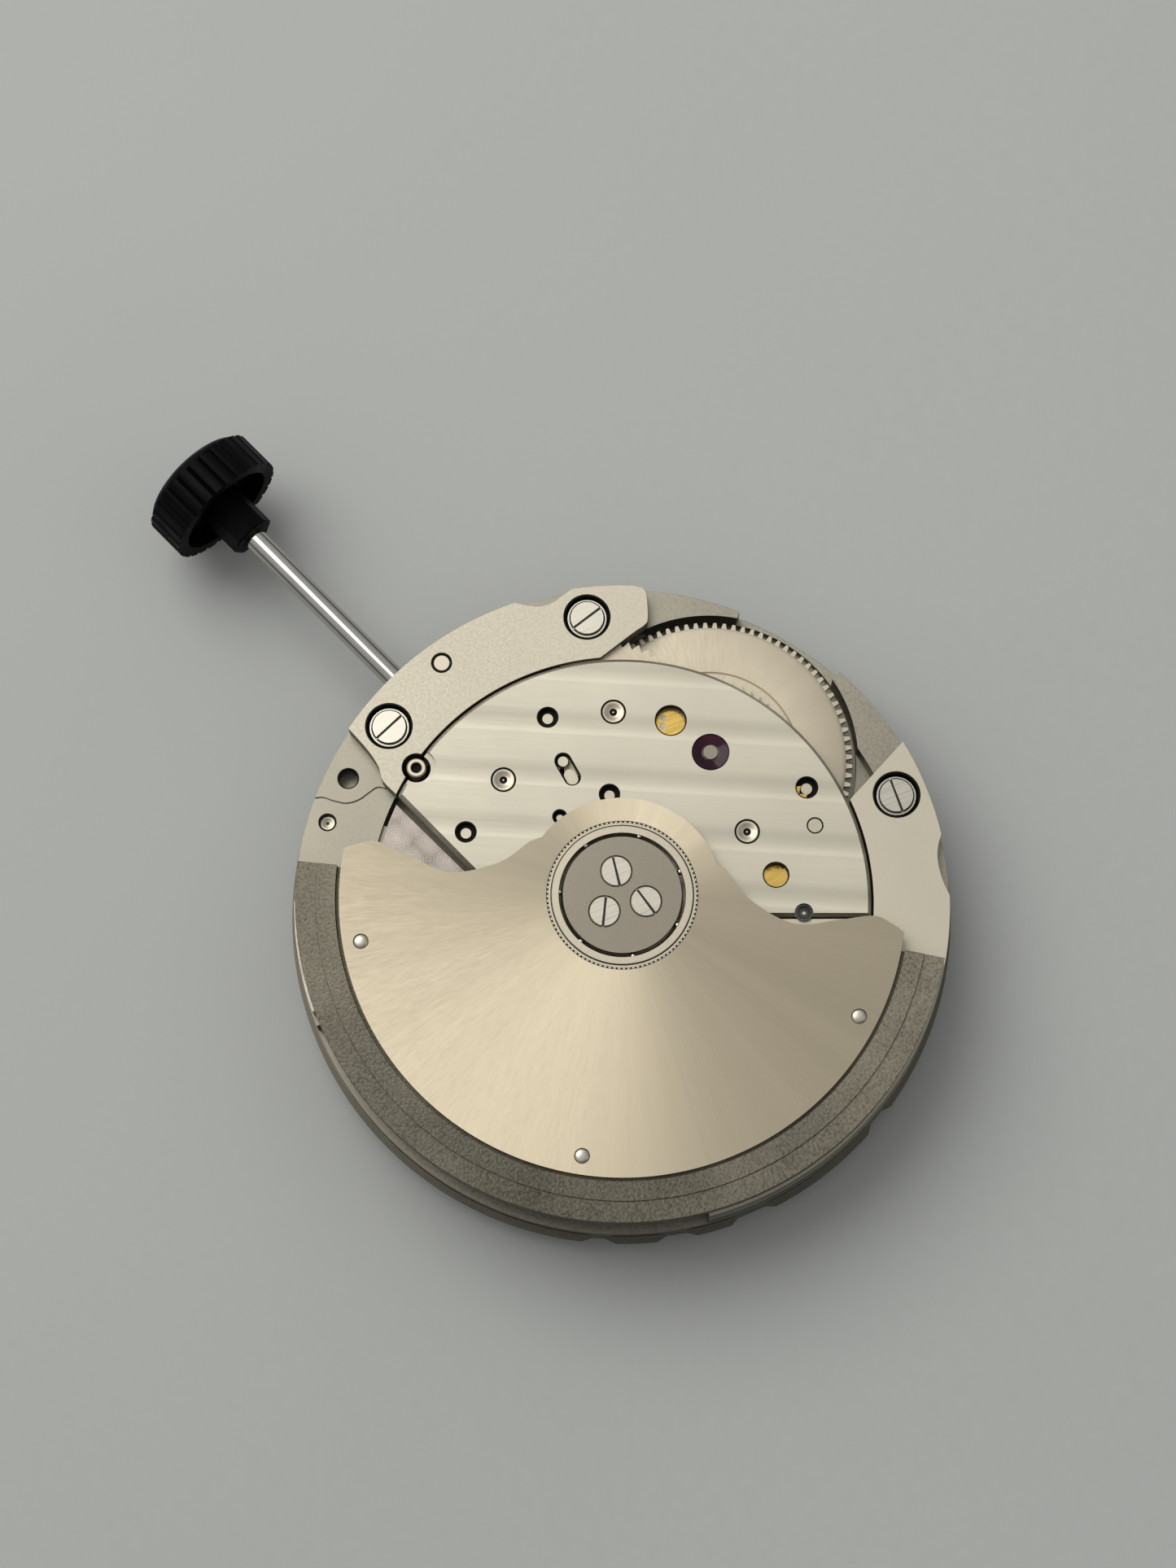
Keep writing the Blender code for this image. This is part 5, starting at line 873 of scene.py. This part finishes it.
def screw_head(node, at, top, radius, depth, slot_turn, shank=0.0, ledge=0.0):
    """A slotted head whose face stands above a ledge, and a dark strip of painted shade that lies in its
    slot.
    """
    face = radius - ledge
    profile = [(0, top), (face - HEAD_SOFT, top), (face, top - HEAD_SOFT)]
    if ledge:
        step = top - SLOT_DEPTH - LEDGE_DROP
        profile += [(face, step), (radius - LEDGE_SOFT, step), (radius, step - LEDGE_SOFT)]
    profile += [(radius, top - depth), (0, top - depth)]
    if shank:
        profile[-1:] = [(SHANK, top - depth), (SHANK, top - shank), (0, top - shank)]
    head = turned(profile, 48)
    half = SCREW_SLOT / 2
    slot = box((-radius - RUN_IN, -half, top - SLOT_DEPTH), (radius + RUN_IN, half, top + RUN_IN))
    place = Matrix.Translation((*at, 0)) @ Matrix.Rotation(math.radians(slot_turn), 4, "Z")
    head = cut(head, slot)
    head.transform(place)
    piece(node + "_steel", head, SCREW_STEEL, node, bevel=0.012)
    # Painted shade: a near-black strip down in the slot
    half -= STRIP_GAP
    low, high = top - SLOT_DEPTH + STRIP_LIFT, top - STRIP_DROP
    strip = box((STRIP_END - face, -half, low), (face - STRIP_END, half, high))
    strip.transform(place)
    return strip


def screws():
    sunk = BRIDGE_TOP - HEAD_DROP
    shank = sunk - bottom_of("bridge_screw_1")
    ledge, cock_head, cock_depth, hub_head, hub_depth = 0.1, 0.66, 0.28, 0.61, 0.26
    slot_shade_strips = []
    for number, (d, a, turn) in enumerate(BRIDGE_SCREWS, 1):
        sizes = (sunk, SCREW_HEAD, HEAD_DEPTH, turn, shank, ledge)
        slot_shade_strips.append(screw_head(f"bridge_screw_{number}", polar(d, a), *sizes))
    d, a, turn = COCK_SCREW
    sizes = (top_of("cock_screw"), cock_head, cock_depth, turn, shank + HEAD_DROP)
    slot_shade_strips.append(screw_head("cock_screw", polar(d, a), *sizes))
    for number, turn in enumerate(HUB_SLOTS, 1):
        node = f"hub_screw_{number}"
        slot_shade_strips.append(screw_head(node, middle_of(node), top_of(node), hub_head, hub_depth, turn))
    # Painted shade in every screw slot
    piece("screw_slot_shade", gathered(slot_shade_strips), SLOT_SHADE, slot="bridge_screw_1")


# Rotor, with its edge's line by reach out along it and rise over it

ROTOR_KNOTS = ((3.85, 1.55), (4.9, 0.55), (6.7, -0.12), (8.4, 0.3), (9.7, 0.65), (10.5, 0.42))
RIVET, RIVET_REACH, RIVET_TURNS = 0.28, 10.2, (-71, 0, 71)


def rotor_edge(side):
    line = []
    for reach, rise in smooth(ROTOR_KNOTS):
        turn = 90 + math.degrees(math.atan2(rise, reach))
        line.append(polar(math.hypot(reach, rise), ROTOR_ANGLE + side * turn))
    return line


def rotor():
    rivet_places = [polar(RIVET_REACH, ROTOR_ANGLE + turn) for turn in RIVET_TURNS]
    radius, half, hub, hub_start, hub_end, hole = 10.91, 91, 3.85, 118, 242, 2.93
    outline = rotor_edge(-1) + arc(radius, ROTOR_ANGLE - half, ROTOR_ANGLE + half, step=1.5)
    outline += rotor_edge(1)[::-1] + arc(hub, ROTOR_ANGLE + hub_start, ROTOR_ANGLE + hub_end, step=3)
    below, above = ROTOR_BOTTOM - RUN_IN, ROTOR_TOP + RUN_IN
    holes = [disc(RIVET + FIT, below, above, at) for at in rivet_places]
    plate_body = cut(flat(ROTOR_BOTTOM, ROTOR_TOP, outline), disc(hole, below, above, sides=90), *holes)
    piece("rotor_sunray_plate", plate_body, ROTOR_METAL, "rotor_plate", body="rotor", bevel=0.03)

    inner, step, rim, outer, half = 9.7, 11.05, 11.8, 12.6, 87.4
    low, ledge, top, edge = bottom_of("rotor_weight"), ROTOR_BOTTOM - FIT, HUB_TOP, HUB_TOP - RUN_IN
    profile = [(inner, low), (inner, ledge), (step, ledge), (step, top), (rim, top), (rim, edge)]
    profile += [(outer, edge), (outer, low)]
    weight = swept(profile, ROTOR_ANGLE - half, ROTOR_ANGLE + half)
    piece("rotor_weight_metal", weight, WEIGHT_METAL, "rotor_weight", body="rotor", bevel=0.018)

    foot = ROTOR_BOTTOM - 0.1
    dome = [(0, ROTOR_TOP + 0.036), (RIVET / 2, ROTOR_TOP + 0.03), (RIVET - 0.05, ROTOR_TOP + 0.012)]
    dome += [(RIVET, ROTOR_TOP - 0.03), (RIVET, foot), (0, foot)]
    rivets = gathered([turned(dome, 36, at) for at in rivet_places])
    piece("rotor_rivets", rivets, SCREW_STEEL, body="rotor", slot="rotor_weight")


# Ball bearing in the rotor's hub

BALLS, BALL_SHARE = 7, 0.43
KNURLS, KNURL_HALF = 100, 0.05


def ball(node):
    """A ball at the CAD ball's place, drawn a little smaller so that the lips cover it."""
    low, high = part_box(node)
    radius = BALL_SHARE * (high.z - low.z) / MM
    mesh = bpy.data.meshes.new("ball")
    with editing(mesh) as shape:
        bmesh.ops.create_uvsphere(shape, u_segments=20, v_segments=12, radius=radius)
    mesh.transform(Matrix.Translation((low + high) / 2 / MM - Vector((0, 0, SEAT))))
    return mesh


def bearing():
    top, lip, web = HUB_TOP, HUB_TOP - 0.03, bottom_of("bearing_core")
    cap, throat, foot, soft, socket = 2.3, 2.26, 2.34, 0.014, 0.63
    profile = [(0, top), (cap - soft, top), (cap, top - soft), (cap, lip), (throat, lip)]
    profile += [(throat, top - 0.34), (foot, top - 0.39), (foot, web), (0, web)]
    sockets = [disc(socket, top - 0.3, top + 0.1, middle_of(f"hub_screw_{i}")) for i in (1, 2, 3)]
    piece("bearing_cap", cut(turned(profile, 96), *sockets), CAP_METAL, "bearing_core", bevel=0.005)

    nodes = [f"bearing_ball_{i}" for i in range(1, BALLS + 1)]
    piece("bearing_balls", gathered([ball(node) for node in nodes]), STEEL, *nodes)

    inner, outer, throat, bore, foot, base = 2.44, 2.74, 2.55, 2.6, 2.66, ROTOR_BOTTOM - 0.1
    race = [(inner, top - soft), (inner + soft, top), (outer - 0.03, top), (outer, top - 0.03)]
    race += [(outer, ROTOR_BOTTOM), (foot, base), (bore, base), (bore, top - 0.26), (throat, top - 0.2)]
    race = turned([*race, (throat, lip), (inner, lip)], 96)
    piece("bearing_outer_race", race, SATIN, "rotor_bearing_ring", body="rotor")

    inner, root, tip, low, high = 2.77, 2.85, 2.91, ROTOR_BOTTOM + 0.02, HUB_TOP - 0.05
    # Painted shade: a near-black ring under the knurl, so the gaps between its ridges look dark
    gap = ring(outer + 0.002, tip + 0.015, low, HUB_TOP - 0.075, sides=96)
    knurl = [turned([(inner, low), (inner, high), (root, high), (root, low)], 96)]
    for i in range(KNURLS):
        ridge = box((root - 0.01, -KNURL_HALF, low), (tip, KNURL_HALF, high))
        ridge.transform(Matrix.Rotation(math.tau * i / KNURLS, 4, "Z"))
        knurl.append(ridge)
    piece("bearing_knurl_gap_shade", gap, SHADED, body="rotor", slot="rotor_bearing_ring")
    teeth, root, tip, bore = 44, 2.69, 2.95, circle(2.52, sides=96)
    pinion = flat(bottom_of("rotor_bearing_ring"), ROTOR_BOTTOM - 0.12, gear(teeth, root, tip), bore)
    piece("bearing_knurl", gathered([*knurl, pinion]), SATIN, body="rotor", slot="rotor_bearing_ring")


# Barrel


def barrel():
    at = middle_of("barrel_drum")
    top, low, base = top_of("barrel_cover"), bottom_of("barrel_cover"), bottom_of("barrel_drum")
    hole, groove, half, face, edge = 0.52, 3.5, 0.04, 5.22, 5.36
    lid = [(hole, top), (groove - half, top), (groove, top - half), (groove + half, top), (face, top)]
    lid += [(edge, top - 0.06), (edge, low), (hole, low)]
    piece("barrel_lid", turned(lid, 120, at), BARREL_METAL, "barrel_cover", body="barrel")
    inner, outer, hole, rim, inside = 4.9, 5.13, 0.3, low - FIT, base + 0.2
    drum = [(inner, rim), (outer, rim), (outer, base), (hole, base), (hole, inside), (inner, inside)]
    count, root, tip, web = 92, 5.38, 5.63, 5.0
    teeth = flat(low - 0.3, low - 2 * FIT, gear(count, root, tip, at), circle(web, at, 96))
    piece("barrel_teeth", joined(turned(drum, 96, at), teeth), SATIN, "barrel_drum", body="barrel")


# Stem and crown, with heights along the stem's axis

FLUTES = 28


def stem_and_crown():
    low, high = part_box("stem")
    start, end = low.x / MM, high.x / MM
    thick, waist, neck, square, pilot = 0.46, 0.28, 0.44, 0.38, 0.24
    neck_end, square_end = 7.44, 5.95
    groove, half = LEVER[0] - 0.4, 0.14
    near, far = groove - half, groove + half
    profile = [(0, end), (thick, end), (thick, far), (waist, far), (waist, near), (neck, near)]
    profile += [(neck, neck_end), (square, neck_end), (square, square_end), (pilot, square_end)]
    profile += [(pilot, start), (0, start)]
    piece("stem_steel", along_stem(turned(profile, 48)), STEM_METAL, "stem", body="stem")

    low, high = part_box("crown")
    collar_start, crown_end = low.x / MM, high.x / MM
    crown_start, rim_end = 22.7, 24.35
    crest, valley = 2.575, 2.43
    flute = [(-0.36, crest - 0.02), (-0.3, crest), (0.3, crest), (0.36, crest - 0.02)]
    flute += [(0.44, valley + 0.03), (0.5, valley), (0.56, valley + 0.03)]
    fluted = [polar(r, 360 / FLUTES * (i + s)) for i in range(FLUTES) for s, r in flute]
    brow, rise = valley - 0.03, crown_end - rim_end
    dome = [(0, crown_end)]
    for turn in range(84, -1, -6):
        dome.append((brow * math.cos(math.radians(turn)), rim_end + rise * math.sin(math.radians(turn))))
    cap = turned([*dome, (brow, rim_end - RUN_IN), (0, rim_end - RUN_IN)], 84)
    hollow = ring(0.9, 2.05, crown_start - RUN_IN, crown_start + 0.7, sides=72)
    crown = cut(joined(flat(crown_start, rim_end, fluted), cap), hollow)
    piece("crown_black", along_stem(crown), BLACK, "crown", body="stem", bevel=0.03)
    outer, bore, soft, depth = 0.96, 0.48, 0.06, crown_start + 0.75
    collar = [(outer, depth), (outer, collar_start + soft), (outer - soft, collar_start)]
    collar = turned([*collar, (bore, collar_start), (bore, depth)], 8)
    piece("crown_collar", along_stem(collar), BLACK, body="stem", slot="crown", bevel=0.02)


# Release sleeve, and the date ring on the dial side

DAYS = 31
DATE_TOOTH = ((0.0, 8.5), (0.35, 8.9), (0.65, 8.9))
DATE_EDGE, FIGURE_REACH, FIGURE_DROP = 11.2, 10.1, 0.003


def release_sleeve():
    low, high = bottom_of("stem_release_button"), top_of("stem_release_button")
    bore, outer = 0.2, 0.39
    sleeve = [(bore, high - 0.03), (bore + 0.03, high), (outer - 0.05, high), (outer, high - 0.04)]
    sleeve = turned([*sleeve, (outer, low), (bore, low)], 40, LEVER)
    piece("release_sleeve", sleeve, SATIN, "stem_release_button", body="release_button")


def date_works():
    low, high = bottom_of("date_ring"), top_of("date_ring")
    inner = [polar(r, 360 / DAYS * (i + s)) for i in range(DAYS) for s, r in DATE_TOOTH]
    disc_body = flat(low, high, circle(DATE_EDGE, sides=186), inner)
    piece("date_ring_disc", disc_body, DATE_WHITE, "date_ring", body="date_ring", bevel=0.02)
    piece("date_figures", gathered(date_figures(low)), DATE_BLACK, body="date_ring", slot="date_ring")


def date_figures(low):
    """The days of the month, printed on the dial side of the date ring."""
    figures = []
    for day in range(1, DAYS + 1):
        text = bpy.data.curves.new("day", "FONT")
        text.body = str(day)
        text.size = 1.25
        text.align_x = "CENTER"
        text.align_y = "CENTER"
        text.extrude = 0.004
        mesh = evaluated(text)
        mesh.transform(Matrix.Scale(-1, 4, (1, 0, 0)))
        mesh.flip_normals()
        turn = Matrix.Rotation(math.radians(360 / DAYS * (day - 0.5) - 180), 4, "Z")
        mesh.transform(turn @ Matrix.Translation((0, FIGURE_REACH, low - FIGURE_DROP)))
        figures.append(mesh)
    return figures


def carried_over():
    """Materials for the CAD solids that stay in view as they are."""
    gilt = ("reversing_wheel", "second_wheel", "third_wheel", "fourth_wheel", "balance_wheel", "minute_wheel")
    gilt += ("hour_wheel", "date_idler_wheel", "date_driving_wheel")
    looks = {
        BRASS: gilt,
        BARREL_METAL: ("intermediate_wheel", "ratchet_wheel"),
        RING_METAL: ("pallet_bridge",),
        COVER_METAL: ("date_guard",),
        BLUED: ("mainspring", "hairspring"),
        # Painted shade: the setting lever is near-black, so its post in the sleeve's bore looks dark
        SHADED: ("setting_lever",),
    }
    look_of = {node: look for look, nodes in looks.items() for node in nodes}
    for name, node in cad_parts.items():
        node.data.materials.clear()
        node.data.materials.append(look_of.get(name, STEEL))


# Stage

CAMERA_TILT, CAMERA_PLACE = 13.91, (-18.75, 20.14, 134.03)
# The sky's bright side, its levels from the dark side to the bright one, and from the horizon up
SKY_FACING = (0.643, 0.0, 0.766)
SKY_LEVELS = ((0.0, 0.04), (0.45, (0.09, 0.09, 0.0909)), (0.62, (0.23, 0.23, 0.2323)))
SKY_LEVELS += ((0.8, (0.5, 0.5, 0.505)), (1.0, (0.66, 0.66, 0.67)))
HORIZON_LEVELS = ((0.0, 0.2), (0.4, 1.0))
# Each lamp's name, place and size in millimetres, power in watts and tint
LAMPS = (
    ("key", (180, 8, 255), 260, 0.43, (1.0, 0.985, 0.96)),
    ("fill", (-220, -160, 260), 240, 0.05, (0.97, 0.98, 1.0)),
)


def camera():
    data = bpy.data.cameras.new("camera")
    data.lens = 78.46
    data.sensor_width = 36
    data.sensor_fit = "AUTO"
    data.clip_start = 0.01
    tilt = math.radians(CAMERA_TILT)
    across = Vector((*ACROSS, 0))
    up = Vector((*UPWARD, 0)) * math.cos(tilt) + Vector((0, 0, math.sin(tilt)))
    turn = Matrix((across, up, across.cross(up))).transposed().to_4x4()
    seen = placed("camera", data)
    seen.matrix_world = Matrix.Translation(Vector(CAMERA_PLACE) * MM) @ turn
    bpy.context.scene.camera = seen


def floor():
    bpy.ops.mesh.primitive_plane_add(size=3.0, location=(0, 0, 0))
    ground = bpy.context.object
    ground.name = "floor"
    n = Nodes("pale_table")
    fibre = n.noise(1600)
    cloud = n.noise(9.0, detail=4)
    tone = n.ramp(n.blended(cloud, fibre, 0.3), (0.3, (0.47, 0.485, 0.46)), (0.7, (0.53, 0.545, 0.52)))
    shine = n.ramp(fibre, (0.3, 0.55), (0.7, 0.7))
    ground.data.materials.append(n.done(tone, shine, n.bump(fibre, 0.08, 0.05)))


def sky():
    """A soft studio: bright overhead and on the stem's side, dark on the other side and low all round."""
    n = Nodes("studio", "worlds", "Background")
    facing = n.add("VectorMath", {0: n.around, 1: SKY_FACING}, operation="DOT_PRODUCT")
    share = n.math("MULTIPLY_ADD", facing.outputs["Value"], 0.5, 0.5)
    n.link(n.ramp(share, *SKY_LEVELS), n.shader.inputs["Color"])
    n.link(n.ramp(n.upward(n.around), *HORIZON_LEVELS), n.shader.inputs["Strength"])
    bpy.context.scene.world = n.made


def lamps():
    for name, place, size, watts, tint in LAMPS:
        data = bpy.data.lights.new(name, "AREA")
        data.shape = "DISK"
        data.size = size * MM
        data.energy = watts
        data.color = tint
        lamp = placed(name, data)
        lamp.location = Vector(place) * MM
        lamp.rotation_euler = (-lamp.location).to_track_quat("-Z", "Y").to_euler()


def main():
    bpy.context.scene.view_settings.view_transform = "Standard"
    camera()
    sky()
    lamps()
    carried_over()
    plate()
    ring_bridges()
    striped_bridge()
    balance_cock()
    screws()
    rotor()
    bearing()
    barrel()
    stem_and_crown()
    release_sleeve()
    date_works()
    floor()


main()
